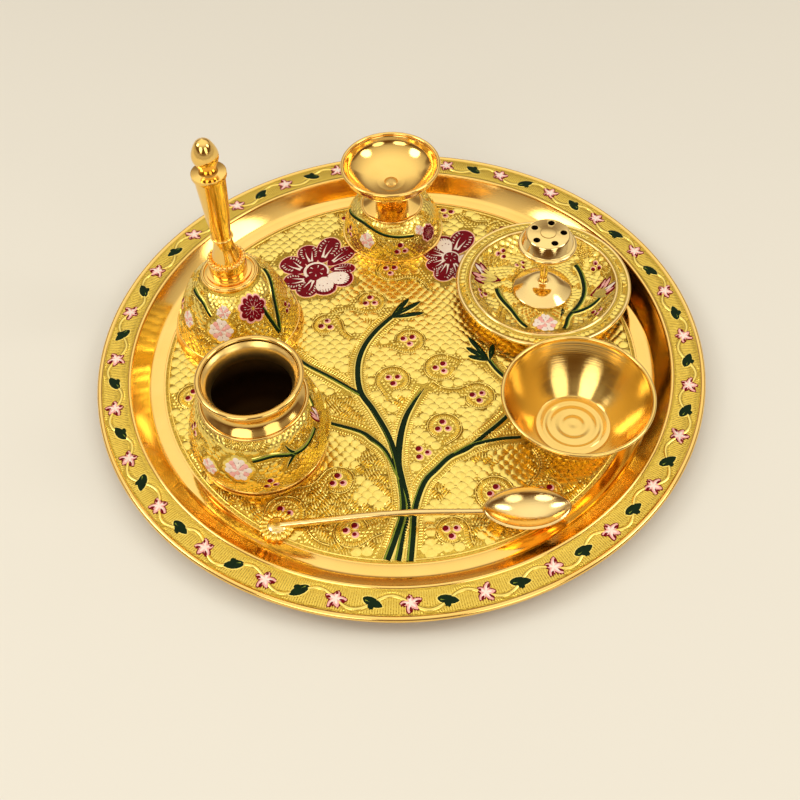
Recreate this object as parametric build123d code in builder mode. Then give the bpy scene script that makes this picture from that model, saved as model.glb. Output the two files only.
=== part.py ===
"""Puja thali set in brass.

An engraved tray carries a hand bell, a lota (water pot), an oil lamp, an incense stand,
a katori (offering bowl) and a spoon. Millimetres, +Z up. The origin is the centre of the
tray's underside, and every vessel is drawn standing on the tray's floor.
"""

import os
from math import atan2, cos, radians, sin, tan

from build123d import *

os.makedirs("parts", exist_ok=True)

# Fits that several pieces share
screw_fit = 0.05
ring_play = 0.2
rest_play = 0.3
bore_spare = 0.5

# Tray: rolled edge, flat rim band, inner bead, sloping wall, polished border, chased floor
tray_r = 140.0
tray_sheet = 1.6
rim_top = 9.2
rim_band_w = 14.8
wall_run = 8.2
border_w = 6.3
cove_r = 4.0
rim_bend_r = 1.0
rim_edge_r = 1.3
rim_bead_r = 0.9
border_groove_w = 0.8
border_groove_depth = 0.3

# Hand bell
bell_bearing = 161.7
bell_wall_gap = 4.9
bell_r = 31.0
bell_lip_h = 1.4
bell_wall = 2.0
bell_shoulder_r = 13.2
bell_shoulder_z = 35.4
bell_step_h = 1.4
bell_seat_r = 10.4
bell_curve_shares = ((0.12, 0.16), (0.39, 0.54), (0.67, 0.84))

# Bell handle: collar with a ring of pearls, slim neck, grip that widens upwards, bud on top
collar_r = 8.7
collar_h = 7.6
collar_pearl_r = 0.95
collar_pearl_ring_r = 7.9
collar_pearl_count = 24
neck_top_r = 6.8
neck_r = 4.3
neck_h = 11.0
grip_r = 6.8
grip_h = 47.0
grip_curve_share = 0.45
grip_ring_r = 7.6
grip_ring_h = 2.0
bud_neck_r = 4.0
bud_neck_h = 3.0
bud_r = 5.8
bud_h = 14.0
bud_widest_share = 0.4

# Clapper chain: screwed eye, ring link, clapper with its own ring
eye_stud_r = 2.5
eye_stud_grip = 9.0
eye_flange_r = 5.0
eye_flange_t = 1.5
eye_neck_r = 1.4
eye_neck_h = 0.8
eye_ring_r = 2.2
eye_wire_r = 0.9
link_ring_r = 3.2
link_wire_r = 0.8
clapper_ring_r = 2.4
clapper_wire_r = 0.8
clapper_rod_r = 1.3
clapper_ball_r = 6.5
clapper_floor_gap = 3.0

# Lota: ringed base, round belly, narrow neck, flared lip
lota_bearing = 219.7
lota_wall_gap = 7.1
lota_r = 30.0
lota_h = 53.0
lota_wall = 1.5
lota_base_t = 2.2
lota_base_h = 5.6
lota_base_tuck = 5.2
lota_ring_h = 1.5
lota_ring_tuck = 1.8
lota_ring_step = 0.7
lota_belly_z = 19.0
lota_shoulder_r = 25.6
lota_shoulder_z = 34.5
lota_neck_r = 18.4
lota_neck_z = 43.4
lota_flare_r = 19.3
lota_flare_z = 48.6
lota_bead_r = 0.9
lota_bead_ring_r = 22.2
lota_bead_z = 38.8
lota_lip_r = 21.9
lota_lip_t = 1.6
lota_lip_bead_r = 1.3

# Oil lamp: hollow domed foot, turned stem, cup, screw and nut
lamp_bearing = 90.6
lamp_wall_gap = 2.5
lamp_r = 26.0
lamp_wall = 1.6
lamp_band_h = 2.2
lamp_band_step = 0.8
lamp_cap_r = 15.5
lamp_cap_z = 19.0
lamp_cap_lip = 0.5
lamp_cap_rise = 4.0
lamp_dome_shares = ((0.15, 0.42), (0.45, 0.78))
lamp_cap_share = 0.62
lamp_stud_r = 2.0
lamp_stem_foot_r = 4.6
lamp_stem_plate_r = 6.4
lamp_stem_plate_t = 1.3
lamp_stem_r = 2.3
lamp_stem_h = 8.0
lamp_knop_r = 3.4
lamp_nut_r = 4.4
lamp_nut_h = 3.0
lamp_nut_sides = 6
lamp_cup_r = 24.5
lamp_cup_h = 12.5
lamp_cup_wall = 1.5
lamp_cup_floor_t = 1.8
lamp_cup_shares = ((0.5, 0.17), (0.86, 0.58))
lamp_cup_bead_r = 1.0
lamp_screw_r = 1.5
lamp_screw_head_r = 3.4
lamp_screw_head_h = 1.5
lamp_screw_grip = 5.0

# Incense stand: saucer on a foot ring, domed pedestal with a thin stem, five-hole head, screw
incense_bearing = 27.8
incense_rim_gap = 2.5
saucer_r = 42.4
saucer_sheet = 1.5
saucer_rim_w = 6.8
saucer_rim_z = 10.2
saucer_well_run = 7.0
saucer_well_z = 4.6
saucer_bend_r = 6.0
saucer_rim_bend_r = 0.8
saucer_edge_r = 0.95
saucer_bead_r = 0.8
saucer_foot_r = 24.0
saucer_foot_t = 2.0
pedestal_r = 14.3
pedestal_edge_h = 0.8
pedestal_rise = 4.2
pedestal_dome_share = 0.6
pedestal_flare_r = 3.4
pedestal_flare_h = 2.6
pedestal_stem_r = 1.8
head_bottom_z = 33.0
head_flange_r = 13.8
head_flange_h = 2.6
head_flange_round_r = 1.1
head_waist_r = 12.0
head_top_r = 10.3
head_h = 8.0
head_round_r = 0.7
head_tenon_r = 1.3
head_tenon_h = 4.0
head_boss_r = 3.6
head_boss_h = 0.6
stick_hole_r = 1.65
stick_hole_ring_r = 7.2
stick_hole_depth = 5.5
stick_hole_count = 5
incense_screw_r = 1.4
incense_screw_head_r = 3.6
incense_screw_head_h = 1.3
incense_screw_grip = 5.0

# Katori
katori_bearing = -30.8
katori_rim_gap = 4.1
katori_r = 33.2
katori_h = 25.0
katori_wall = 1.2
katori_foot_r = 17.5
katori_foot_h = 1.5
katori_floor_t = 2.4
katori_shares = ((0.4, 0.32), (0.74, 0.66))
katori_rim_bead_r = 0.9
katori_floor_groove_r = 12.6
katori_floor_groove_w = 0.9
katori_floor_groove_depth = 0.4

# Spoon: oval bowl, tapering rod, flower disc
spoon_inset = 20.2
spoon_bowl_x = 50.0
spoon_reach = 104.5
spoon_bowl_half_l = 18.5
spoon_bowl_half_w = 10.6
spoon_bowl_depth = 7.2
spoon_wall = 1.0
spoon_rod_bowl_r = 1.3
spoon_rod_mid_r = 1.6
spoon_rod_disc_r = 1.75
spoon_rod_arch = 1.2
spoon_rod_drop = 0.5
spoon_rod_mid_share = 0.55
spoon_disc_r = 6.4
spoon_disc_t = 1.8
spoon_petal_r = 1.15
spoon_petal_count = 18
spoon_boss_r = 3.6
spoon_boss_h = 0.9

# Radii of the tray's zones, and the height that the vessels stand on
rim_inner_r = tray_r - rim_band_w
wall_foot_r = rim_inner_r - wall_run
chased_r = wall_foot_r - border_w
floor_z = tray_sheet


def stand_at(reach, bearing):
    """Centre of a vessel at a distance and a bearing in degrees from the tray's centre."""
    return (reach * cos(radians(bearing)), reach * sin(radians(bearing)))


def section_of(place):
    """Upright section plane of a turned vessel: x is its radius, y its height on the floor."""
    return Plane(origin=(*place, floor_z), x_dir=(1, 0, 0), z_dir=(0, -1, 0))


def spindle_of(place):
    """Upright axis that a turned vessel is spun about."""
    return Axis((*place, floor_z), (0, 0, 1))


def between(start, end, shares):
    """Points on the way from start to end, each at its shares of the way across and up."""
    return [
        (start[0] + (end[0] - start[0]) * across, start[1] + (end[1] - start[1]) * up)
        for across, up in shares
    ]


# Tray, pressed from one sheet: its two skins run parallel round both bends
wall_slope = atan2(rim_top - tray_sheet, wall_run)
bend_shift = tray_sheet * tan(wall_slope / 2)
rim_outer_r = tray_r - rim_edge_r
with BuildPart() as thali_tray:
    with BuildSketch(Plane.XZ):
        with BuildLine():
            FilletPolyline(
                (0, tray_sheet),
                (wall_foot_r, tray_sheet),
                (rim_inner_r, rim_top),
                (rim_outer_r, rim_top),
                radius=[cove_r, rim_bend_r + tray_sheet],
            )
            Line((rim_outer_r, rim_top), (rim_outer_r, rim_top - tray_sheet))
            FilletPolyline(
                (rim_outer_r, rim_top - tray_sheet),
                (rim_inner_r + bend_shift, rim_top - tray_sheet),
                (wall_foot_r + bend_shift, 0),
                (0, 0),
                radius=[rim_bend_r, cove_r + tray_sheet],
            )
            Line((0, 0), (0, tray_sheet))
        make_face()
        with Locations((rim_outer_r, rim_top - tray_sheet / 2)):
            Circle(rim_edge_r)
        with Locations((rim_inner_r, rim_top - rim_bead_r / 2)):
            Circle(rim_bead_r)
        with Locations((chased_r, tray_sheet)):
            Rectangle(border_groove_w, 2 * border_groove_depth, mode=Mode.SUBTRACT)
    revolve(axis=Axis.Z)
thali_tray.part.label = "thali_tray"
export_step(thali_tray.part, "parts/thali_tray.step")

# Bell cup: flared lip, domed side, two polished steps up to the handle's seat
bell_place = stand_at(wall_foot_r - bell_wall_gap - bell_r, bell_bearing)
bell_section = section_of(bell_place)
bell_spindle = spindle_of(bell_place)
bell_h = bell_shoulder_z + 2 * bell_step_h
bell_crown_z = bell_shoulder_z - bell_wall
bell_bore_r = eye_stud_r + screw_fit
bell_lip_outer = (bell_r, bell_lip_h)
bell_shoulder_outer = (bell_shoulder_r, bell_shoulder_z)
bell_lip_inner = (bell_r - bell_wall, 0)
bell_shoulder_inner = (bell_shoulder_r - bell_wall, bell_crown_z)
with BuildPart() as bell_cup:
    with BuildSketch(bell_section):
        with BuildLine():
            Spline(
                bell_shoulder_inner,
                *reversed(between(bell_lip_inner, bell_shoulder_inner, bell_curve_shares)),
                bell_lip_inner,
            )
            Polyline(bell_lip_inner, (bell_r, 0), bell_lip_outer)
            Spline(
                bell_lip_outer,
                *between(bell_lip_outer, bell_shoulder_outer, bell_curve_shares),
                bell_shoulder_outer,
            )
            Polyline(
                bell_shoulder_outer,
                (bell_shoulder_r, bell_shoulder_z + bell_step_h),
                (bell_seat_r, bell_shoulder_z + bell_step_h),
                (bell_seat_r, bell_h),
                (bell_bore_r, bell_h),
                (bell_bore_r, bell_crown_z),
                bell_shoulder_inner,
            )
        make_face()
    revolve(axis=bell_spindle)
bell_cup.part.label = "bell_cup"
export_step(bell_cup.part, "parts/bell_cup.step")

# Bell handle: turned in one piece, with a blind bore for the eye's stud
collar_top_z = bell_h + collar_h
neck_z = collar_top_z + neck_h
grip_top_z = collar_top_z + grip_h
bud_neck_z = grip_top_z + grip_ring_h
bud_z = bud_neck_z + bud_neck_h
handle_top_z = bud_z + bud_h
handle_bore_top_z = bell_h + eye_stud_grip + bore_spare
grip_mid = ((neck_r + grip_r) / 2, neck_z + (grip_top_z - neck_z) * grip_curve_share)
with BuildPart() as bell_handle:
    with BuildSketch(bell_section):
        with BuildLine():
            Polyline(
                (0, handle_bore_top_z),
                (bell_bore_r, handle_bore_top_z),
                (bell_bore_r, bell_h),
                (collar_r, bell_h),
                (collar_r, collar_top_z),
                (neck_top_r, collar_top_z),
            )
            Spline((neck_top_r, collar_top_z), (neck_r, neck_z), grip_mid, (grip_r, grip_top_z))
            Polyline(
                (grip_r, grip_top_z),
                (grip_ring_r, grip_top_z),
                (grip_ring_r, bud_neck_z),
                (bud_neck_r, bud_neck_z),
                (bud_neck_r, bud_z),
            )
            Spline(
                (bud_neck_r, bud_z),
                (bud_r, bud_z + bud_h * bud_widest_share),
                (0, handle_top_z),
            )
            Line((0, handle_top_z), (0, handle_bore_top_z))
        make_face()
    revolve(axis=bell_spindle)
    with Locations((*bell_place, floor_z + collar_top_z)):
        with PolarLocations(collar_pearl_ring_r, collar_pearl_count):
            Sphere(collar_pearl_r)
bell_handle.part.label = "bell_handle"
export_step(bell_handle.part, "parts/bell_handle.step")

# Clapper chain: heights of the two pivots, from the eye down
eye_flange_z = bell_crown_z - eye_flange_t
eye_ring_z = eye_flange_z - eye_neck_h - eye_wire_r - eye_ring_r
link_pivot_z = eye_ring_z - eye_ring_r
link_ring_z = link_pivot_z + eye_wire_r + ring_play + link_wire_r - link_ring_r
clapper_pivot_z = link_ring_z - link_ring_r
clapper_ring_z = clapper_pivot_z + link_wire_r + ring_play + clapper_wire_r - clapper_ring_r
clapper_ball_z = clapper_floor_gap + clapper_ball_r
clapper_rod_top_z = clapper_ring_z - clapper_ring_r
bell_x, bell_y = bell_place

# Eye: stud screwed up into the handle, flange under the crown, ring across the bell
with BuildPart() as bell_clapper_eye:
    with BuildSketch(bell_section):
        with BuildLine():
            Polyline(
                (0, eye_ring_z + eye_ring_r),
                (eye_neck_r, eye_ring_z + eye_ring_r),
                (eye_neck_r, eye_flange_z),
                (eye_flange_r, eye_flange_z),
                (eye_flange_r, bell_crown_z),
                (eye_stud_r, bell_crown_z),
                (eye_stud_r, bell_h + eye_stud_grip),
                (0, bell_h + eye_stud_grip),
                close=True,
            )
        make_face()
    revolve(axis=bell_spindle)
    with Locations(Location((bell_x, bell_y, floor_z + eye_ring_z), (90, 0, 0))):
        Torus(eye_ring_r, eye_wire_r)
bell_clapper_eye.part.label = "bell_clapper_eye"
export_step(bell_clapper_eye.part, "parts/bell_clapper_eye.step")

# Link: a ring hung in the eye, square to it
with BuildPart() as bell_clapper_link:
    with Locations(Location((bell_x, bell_y, floor_z + link_ring_z), (0, 90, 0))):
        Torus(link_ring_r, link_wire_r)
bell_clapper_link.part.label = "bell_clapper_link"
export_step(bell_clapper_link.part, "parts/bell_clapper_link.step")

# Clapper: ring in line with the eye's, rod and ball
with BuildPart() as bell_clapper:
    with Locations(Location((bell_x, bell_y, floor_z + clapper_ring_z), (90, 0, 0))):
        Torus(clapper_ring_r, clapper_wire_r)
    with Locations((bell_x, bell_y, floor_z + clapper_ball_z)):
        Sphere(clapper_ball_r)
        Cylinder(
            clapper_rod_r,
            clapper_rod_top_z - clapper_ball_z,
            align=(Align.CENTER, Align.CENTER, Align.MIN),
        )
bell_clapper.part.label = "bell_clapper"
export_step(bell_clapper.part, "parts/bell_clapper.step")

# Lota: inner and outer skins follow the same belly, shoulder, neck and lip
lota_place = stand_at(wall_foot_r - lota_wall_gap - lota_r, lota_bearing)
lota_section = section_of(lota_place)
lota_spindle = spindle_of(lota_place)
lota_ring_r = lota_r - lota_ring_tuck
lota_base_r = lota_ring_r - lota_base_tuck
lota_ring_top_z = lota_base_h + 2 * lota_ring_h
lota_ring_foot = (lota_ring_r - lota_ring_step, lota_base_h)
lota_belly_foot = (lota_ring_r - lota_ring_step, lota_ring_top_z)
lota_floor_edge = (lota_base_r - lota_wall, lota_base_t)
lota_lip_z = lota_h - lota_lip_bead_r
with BuildPart() as lota:
    with BuildSketch(lota_section):
        with BuildLine():
            Polyline((0, lota_base_t), (0, 0), (lota_base_r, 0))
            TangentArc((lota_base_r, 0), lota_ring_foot, tangent=(1, 1))
            Polyline(
                lota_ring_foot,
                (lota_ring_r, lota_base_h),
                (lota_ring_r, lota_base_h + lota_ring_h),
                (lota_ring_r - lota_ring_step, lota_base_h + lota_ring_h),
                lota_belly_foot,
            )
            Spline(
                lota_belly_foot,
                (lota_r, lota_belly_z),
                (lota_shoulder_r, lota_shoulder_z),
                (lota_bead_ring_r, lota_bead_z),
                (lota_neck_r, lota_neck_z),
                (lota_flare_r, lota_flare_z),
                (lota_lip_r, lota_lip_z),
            )
            Line((lota_lip_r, lota_lip_z), (lota_lip_r - lota_lip_t, lota_lip_z))
            Spline(
                (lota_lip_r - lota_lip_t, lota_lip_z),
                (lota_flare_r - lota_wall, lota_flare_z),
                (lota_neck_r - lota_wall, lota_neck_z),
                (lota_bead_ring_r - lota_wall, lota_bead_z),
                (lota_shoulder_r - lota_wall, lota_shoulder_z),
                (lota_r - lota_wall, lota_belly_z),
                (lota_ring_r - lota_ring_step - lota_wall, lota_ring_top_z),
                lota_floor_edge,
            )
            Line(lota_floor_edge, (0, lota_base_t))
        make_face()
        with Locations((lota_lip_r - lota_lip_t / 2, lota_lip_z)):
            Circle(lota_lip_bead_r)
        with Locations((lota_bead_ring_r, lota_bead_z)):
            Circle(lota_bead_r)
    revolve(axis=lota_spindle)
lota.part.label = "lota"
export_step(lota.part, "parts/lota.step")

# Lamp foot: open underneath, banded edge, round side, low polished cap
lamp_place = stand_at(wall_foot_r - lamp_wall_gap - lamp_r, lamp_bearing)
lamp_section = section_of(lamp_place)
lamp_spindle = spindle_of(lamp_place)
lamp_top_z = lamp_cap_z + lamp_cap_rise
lamp_bore_r = lamp_stud_r + screw_fit
lamp_dome_r = lamp_r - lamp_band_step
lamp_cap_arc = ((lamp_cap_share, 1 - (1 - lamp_cap_share) ** 2),)
lamp_dome_inner = (lamp_dome_r - lamp_wall, lamp_band_h)
lamp_cap_inner = (lamp_cap_r - lamp_wall, lamp_cap_z - lamp_wall)
lamp_seat_outer = (lamp_stem_foot_r, lamp_top_z)
lamp_seat_inner = (lamp_nut_r + rest_play, lamp_top_z - lamp_wall)
with BuildPart() as lamp_foot:
    with BuildSketch(lamp_section):
        with BuildLine():
            Polyline(
                lamp_dome_inner,
                (lamp_dome_r - lamp_wall, 0),
                (lamp_r, 0),
                (lamp_r, lamp_band_h),
                (lamp_dome_r, lamp_band_h),
            )
            Spline(
                (lamp_dome_r, lamp_band_h),
                *between((lamp_dome_r, lamp_band_h), (lamp_cap_r, lamp_cap_z), lamp_dome_shares),
                (lamp_cap_r, lamp_cap_z),
            )
            Line((lamp_cap_r, lamp_cap_z), (lamp_cap_r - lamp_cap_lip, lamp_cap_z))
            Spline(
                (lamp_cap_r - lamp_cap_lip, lamp_cap_z),
                *between((lamp_cap_r, lamp_cap_z), lamp_seat_outer, lamp_cap_arc),
                lamp_seat_outer,
            )
            Polyline(
                lamp_seat_outer,
                (lamp_bore_r, lamp_top_z),
                (lamp_bore_r, lamp_top_z - lamp_wall),
                lamp_seat_inner,
            )
            Spline(
                lamp_seat_inner,
                *between(lamp_cap_inner, lamp_seat_inner, lamp_cap_arc),
                lamp_cap_inner,
            )
            Spline(
                lamp_cap_inner,
                *reversed(between(lamp_dome_inner, lamp_cap_inner, lamp_dome_shares)),
                lamp_dome_inner,
            )
        make_face()
    revolve(axis=lamp_spindle)
lamp_foot.part.label = "lamp_foot"
export_step(lamp_foot.part, "parts/lamp_foot.step")

# Lamp stem: stud through the foot, knop, plate under the cup, bore for the cup's screw
lamp_cup_z = lamp_top_z + lamp_stem_h
lamp_knop_z = lamp_top_z + lamp_stem_h / 2
lamp_stud_end_z = lamp_top_z - lamp_wall - lamp_nut_h - bore_spare
lamp_screw_bore_r = lamp_screw_r + screw_fit
lamp_screw_bore_z = lamp_cup_z - lamp_screw_grip - bore_spare
with BuildPart() as lamp_stem:
    with BuildSketch(lamp_section):
        with BuildLine():
            Polyline(
                (0, lamp_stud_end_z),
                (lamp_stud_r, lamp_stud_end_z),
                (lamp_stud_r, lamp_top_z),
                (lamp_stem_foot_r, lamp_top_z),
                (lamp_stem_r, lamp_top_z + lamp_stem_plate_t),
                (lamp_stem_r, lamp_cup_z - 2 * lamp_stem_plate_t),
                (lamp_stem_plate_r, lamp_cup_z - lamp_stem_plate_t),
                (lamp_stem_plate_r, lamp_cup_z),
                (0, lamp_cup_z),
                close=True,
            )
        make_face()
        with Locations((lamp_stem_r, lamp_knop_z)):
            Circle(lamp_knop_r - lamp_stem_r)
        with Locations((0, lamp_screw_bore_z)):
            Rectangle(
                lamp_screw_bore_r,
                lamp_cup_z - lamp_screw_bore_z,
                align=(Align.MIN, Align.MIN),
                mode=Mode.SUBTRACT,
            )
    revolve(axis=lamp_spindle)
lamp_stem.part.label = "lamp_stem"
export_step(lamp_stem.part, "parts/lamp_stem.step")

# Lamp nut: holds the stem's stud inside the hollow foot
lamp_nut_z = floor_z + lamp_top_z - lamp_wall - lamp_nut_h
lamp_x, lamp_y = lamp_place
with BuildPart() as lamp_nut:
    with BuildSketch(Plane.XY.offset(lamp_nut_z)):
        with Locations((lamp_x, lamp_y)):
            RegularPolygon(lamp_nut_r, lamp_nut_sides)
            Circle(lamp_bore_r, mode=Mode.SUBTRACT)
    extrude(amount=lamp_nut_h)
lamp_nut.part.label = "lamp_nut"
export_step(lamp_nut.part, "parts/lamp_nut.step")

# Lamp cup: shallow round oil bowl with a beaded edge
lamp_cup_top_z = lamp_cup_z + lamp_cup_h
cup_foot = (lamp_stem_plate_r, lamp_cup_z)
cup_rim = (lamp_cup_r, lamp_cup_top_z)
cup_floor = (lamp_stem_plate_r, lamp_cup_z + lamp_cup_floor_t)
cup_rim_inner = (lamp_cup_r - lamp_cup_wall, lamp_cup_top_z)
with BuildPart() as lamp_cup:
    with BuildSketch(lamp_section):
        with BuildLine():
            Polyline(
                cup_floor,
                (lamp_screw_bore_r, lamp_cup_z + lamp_cup_floor_t),
                (lamp_screw_bore_r, lamp_cup_z),
                cup_foot,
            )
            Spline(cup_foot, *between(cup_foot, cup_rim, lamp_cup_shares), cup_rim)
            Line(cup_rim, cup_rim_inner)
            Spline(
                cup_rim_inner,
                *reversed(between(cup_floor, cup_rim_inner, lamp_cup_shares)),
                cup_floor,
            )
        make_face()
        with Locations((lamp_cup_r - lamp_cup_wall / 2, lamp_cup_top_z)):
            Circle(lamp_cup_bead_r)
    revolve(axis=lamp_spindle)
lamp_cup.part.label = "lamp_cup"
export_step(lamp_cup.part, "parts/lamp_cup.step")

# Lamp screw: domed head on the cup's floor, shank down into the stem
screw_head_z = lamp_cup_z + lamp_cup_floor_t
with BuildPart() as lamp_screw:
    with BuildSketch(lamp_section):
        with BuildLine():
            Polyline(
                (0, screw_head_z + lamp_screw_head_h),
                (0, lamp_cup_z - lamp_screw_grip),
                (lamp_screw_r, lamp_cup_z - lamp_screw_grip),
                (lamp_screw_r, screw_head_z),
                (lamp_screw_head_r, screw_head_z),
            )
            TangentArc(
                (0, screw_head_z + lamp_screw_head_h),
                (lamp_screw_head_r, screw_head_z),
                tangent=(1, 0),
            )
        make_face()
    revolve(axis=lamp_spindle)
lamp_screw.part.label = "lamp_screw"
export_step(lamp_screw.part, "parts/lamp_screw.step")

# Incense saucer: flat rim band, sloping well side, flat well, foot ring underneath
incense_place = stand_at(rim_inner_r - incense_rim_gap - saucer_r, incense_bearing)
incense_section = section_of(incense_place)
incense_spindle = spindle_of(incense_place)
saucer_rim_r = saucer_r - saucer_rim_w
saucer_well_r = saucer_rim_r - saucer_well_run
saucer_under_z = saucer_well_z - saucer_sheet
saucer_edge_in_r = saucer_r - saucer_edge_r
saucer_slope = atan2(saucer_rim_z - saucer_well_z, saucer_well_run)
saucer_shift = saucer_sheet * tan(saucer_slope / 2)
incense_bore_r = incense_screw_r + screw_fit
with BuildPart() as incense_saucer:
    with BuildSketch(incense_section):
        with BuildLine():
            FilletPolyline(
                (incense_bore_r, saucer_well_z),
                (saucer_well_r, saucer_well_z),
                (saucer_rim_r, saucer_rim_z),
                (saucer_edge_in_r, saucer_rim_z),
                radius=[saucer_bend_r, saucer_rim_bend_r + saucer_sheet],
            )
            Line((saucer_edge_in_r, saucer_rim_z), (saucer_edge_in_r, saucer_rim_z - saucer_sheet))
            FilletPolyline(
                (saucer_edge_in_r, saucer_rim_z - saucer_sheet),
                (saucer_rim_r + saucer_shift, saucer_rim_z - saucer_sheet),
                (saucer_well_r + saucer_shift, saucer_under_z),
                (incense_bore_r, saucer_under_z),
                radius=[saucer_rim_bend_r, saucer_bend_r + saucer_sheet],
            )
            Line((incense_bore_r, saucer_under_z), (incense_bore_r, saucer_well_z))
        make_face()
        with Locations((saucer_edge_in_r, saucer_rim_z - saucer_sheet / 2)):
            Circle(saucer_edge_r)
        with Locations((saucer_rim_r, saucer_rim_z - saucer_bead_r / 2)):
            Circle(saucer_bead_r)
        with Locations((saucer_foot_r, 0)):
            Rectangle(
                saucer_foot_t,
                saucer_under_z + saucer_sheet / 2,
                align=(Align.MAX, Align.MIN),
            )
    revolve(axis=incense_spindle)
incense_saucer.part.label = "incense_saucer"
export_step(incense_saucer.part, "parts/incense_saucer.step")

# Incense pedestal: low polished dome that flares into a thin stem with a tenon on top
pedestal_edge = (pedestal_r, saucer_well_z + pedestal_edge_h)
pedestal_flare = (pedestal_flare_r, saucer_well_z + pedestal_edge_h + pedestal_rise)
pedestal_flare_z = saucer_well_z + pedestal_edge_h + pedestal_rise + pedestal_flare_h
pedestal_arc = ((pedestal_dome_share, 1 - (1 - pedestal_dome_share) ** 2),)
incense_screw_top_z = saucer_well_z + incense_screw_grip + bore_spare
with BuildPart() as incense_pedestal:
    with BuildSketch(incense_section):
        with BuildLine():
            Polyline(
                (0, incense_screw_top_z),
                (incense_bore_r, incense_screw_top_z),
                (incense_bore_r, saucer_well_z),
                (pedestal_r, saucer_well_z),
                pedestal_edge,
            )
            Spline(
                pedestal_edge,
                *between(pedestal_edge, pedestal_flare, pedestal_arc),
                pedestal_flare,
            )
            TangentArc((pedestal_stem_r, pedestal_flare_z), pedestal_flare, tangent=(0, -1))
            Polyline(
                (pedestal_stem_r, pedestal_flare_z),
                (pedestal_stem_r, head_bottom_z),
                (head_tenon_r, head_bottom_z),
                (head_tenon_r, head_bottom_z + head_tenon_h),
                (0, head_bottom_z + head_tenon_h),
                (0, incense_screw_top_z),
            )
        make_face()
    revolve(axis=incense_spindle)
incense_pedestal.part.label = "incense_pedestal"
export_step(incense_pedestal.part, "parts/incense_pedestal.step")

# Incense head: rounded flange, tapering drum, five stick holes round a raised boss
head_top_z = head_bottom_z + head_h
head_flange_z = head_bottom_z + head_flange_h
head_bore_r = head_tenon_r + screw_fit
head_bore_z = head_bottom_z + head_tenon_h + bore_spare
with BuildPart() as incense_head:
    with BuildSketch(incense_section):
        with BuildLine():
            FilletPolyline(
                (head_bore_r, head_bottom_z),
                (head_flange_r, head_bottom_z),
                (head_flange_r, head_flange_z),
                (head_waist_r, head_flange_z),
                (head_top_r, head_top_z),
                (head_boss_r, head_top_z),
                radius=[head_flange_round_r, head_flange_round_r, head_round_r, head_round_r],
            )
            Polyline(
                (head_boss_r, head_top_z),
                (head_boss_r, head_top_z + head_boss_h),
                (0, head_top_z + head_boss_h),
                (0, head_bore_z),
                (head_bore_r, head_bore_z),
                (head_bore_r, head_bottom_z),
            )
        make_face()
    revolve(axis=incense_spindle)
    with BuildSketch(Plane(origin=(*incense_place, floor_z + head_top_z))):
        with PolarLocations(stick_hole_ring_r, stick_hole_count):
            Circle(stick_hole_r)
    extrude(amount=-stick_hole_depth, mode=Mode.SUBTRACT)
incense_head.part.label = "incense_head"
export_step(incense_head.part, "parts/incense_head.step")

# Incense screw: flat head under the saucer, shank up into the pedestal
with BuildPart() as incense_screw:
    with BuildSketch(incense_section):
        with BuildLine():
            Polyline(
                (0, saucer_under_z - incense_screw_head_h),
                (incense_screw_head_r, saucer_under_z - incense_screw_head_h),
                (incense_screw_head_r, saucer_under_z),
                (incense_screw_r, saucer_under_z),
                (incense_screw_r, saucer_well_z + incense_screw_grip),
                (0, saucer_well_z + incense_screw_grip),
                close=True,
            )
        make_face()
    revolve(axis=incense_spindle)
incense_screw.part.label = "incense_screw"
export_step(incense_screw.part, "parts/incense_screw.step")

# Katori: thin bowl with a beaded rim, a low foot and a turned ring in its floor
katori_place = stand_at(rim_inner_r - katori_rim_gap - katori_r, katori_bearing)
katori_spindle = spindle_of(katori_place)
katori_side_foot = (katori_foot_r, katori_foot_h)
katori_rim = (katori_r, katori_h - katori_rim_bead_r)
katori_floor_edge = (katori_foot_r - katori_wall, katori_floor_t)
katori_rim_inner = (katori_r - katori_wall, katori_rim[1])
with BuildPart() as katori:
    with BuildSketch(section_of(katori_place)):
        with BuildLine():
            Polyline((0, katori_floor_t), (0, 0), (katori_foot_r, 0), katori_side_foot)
            Spline(katori_side_foot, *between(katori_side_foot, katori_rim, katori_shares), katori_rim)
            Line(katori_rim, katori_rim_inner)
            Spline(
                katori_rim_inner,
                *reversed(between(katori_floor_edge, katori_rim_inner, katori_shares)),
                katori_floor_edge,
            )
            Line(katori_floor_edge, (0, katori_floor_t))
        make_face()
        with Locations((katori_r - katori_rim_bead_r, katori_rim[1])):
            Circle(katori_rim_bead_r)
        with Locations((katori_floor_groove_r, katori_floor_t)):
            Rectangle(
                katori_floor_groove_w,
                2 * katori_floor_groove_depth,
                mode=Mode.SUBTRACT,
            )
    revolve(axis=katori_spindle)
katori.part.label = "katori"
export_step(katori.part, "parts/katori.step")

# Spoon: the bowl is spun about a line above its rim, then cut level with the rim
spoon_y = spoon_inset - chased_r
spoon_disc_x = spoon_bowl_x - spoon_reach
spoon_rim_z = floor_z + rest_play + spoon_bowl_depth
spoon_spin_r = (spoon_bowl_half_w**2 + spoon_bowl_depth**2) / (2 * spoon_bowl_depth)
spoon_spin_rise = spoon_spin_r - spoon_bowl_depth
spoon_spin_z = spoon_rim_z + spoon_spin_rise
spoon_spin_axis = Axis((spoon_bowl_x, spoon_y, spoon_spin_z), (1, 0, 0))
spoon_spin_plane = Plane(
    origin=(spoon_bowl_x, spoon_y, spoon_spin_z), x_dir=(1, 0, 0), z_dir=(0, -1, 0)
)
rod_bowl_x = spoon_bowl_x - spoon_bowl_half_l
rod_disc_x = spoon_disc_x + spoon_disc_r
rod_mid_x = rod_disc_x + (rod_bowl_x - rod_disc_x) * spoon_rod_mid_share
rod_bowl_z = spoon_rim_z - spoon_rod_bowl_r - spoon_rod_drop
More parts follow.
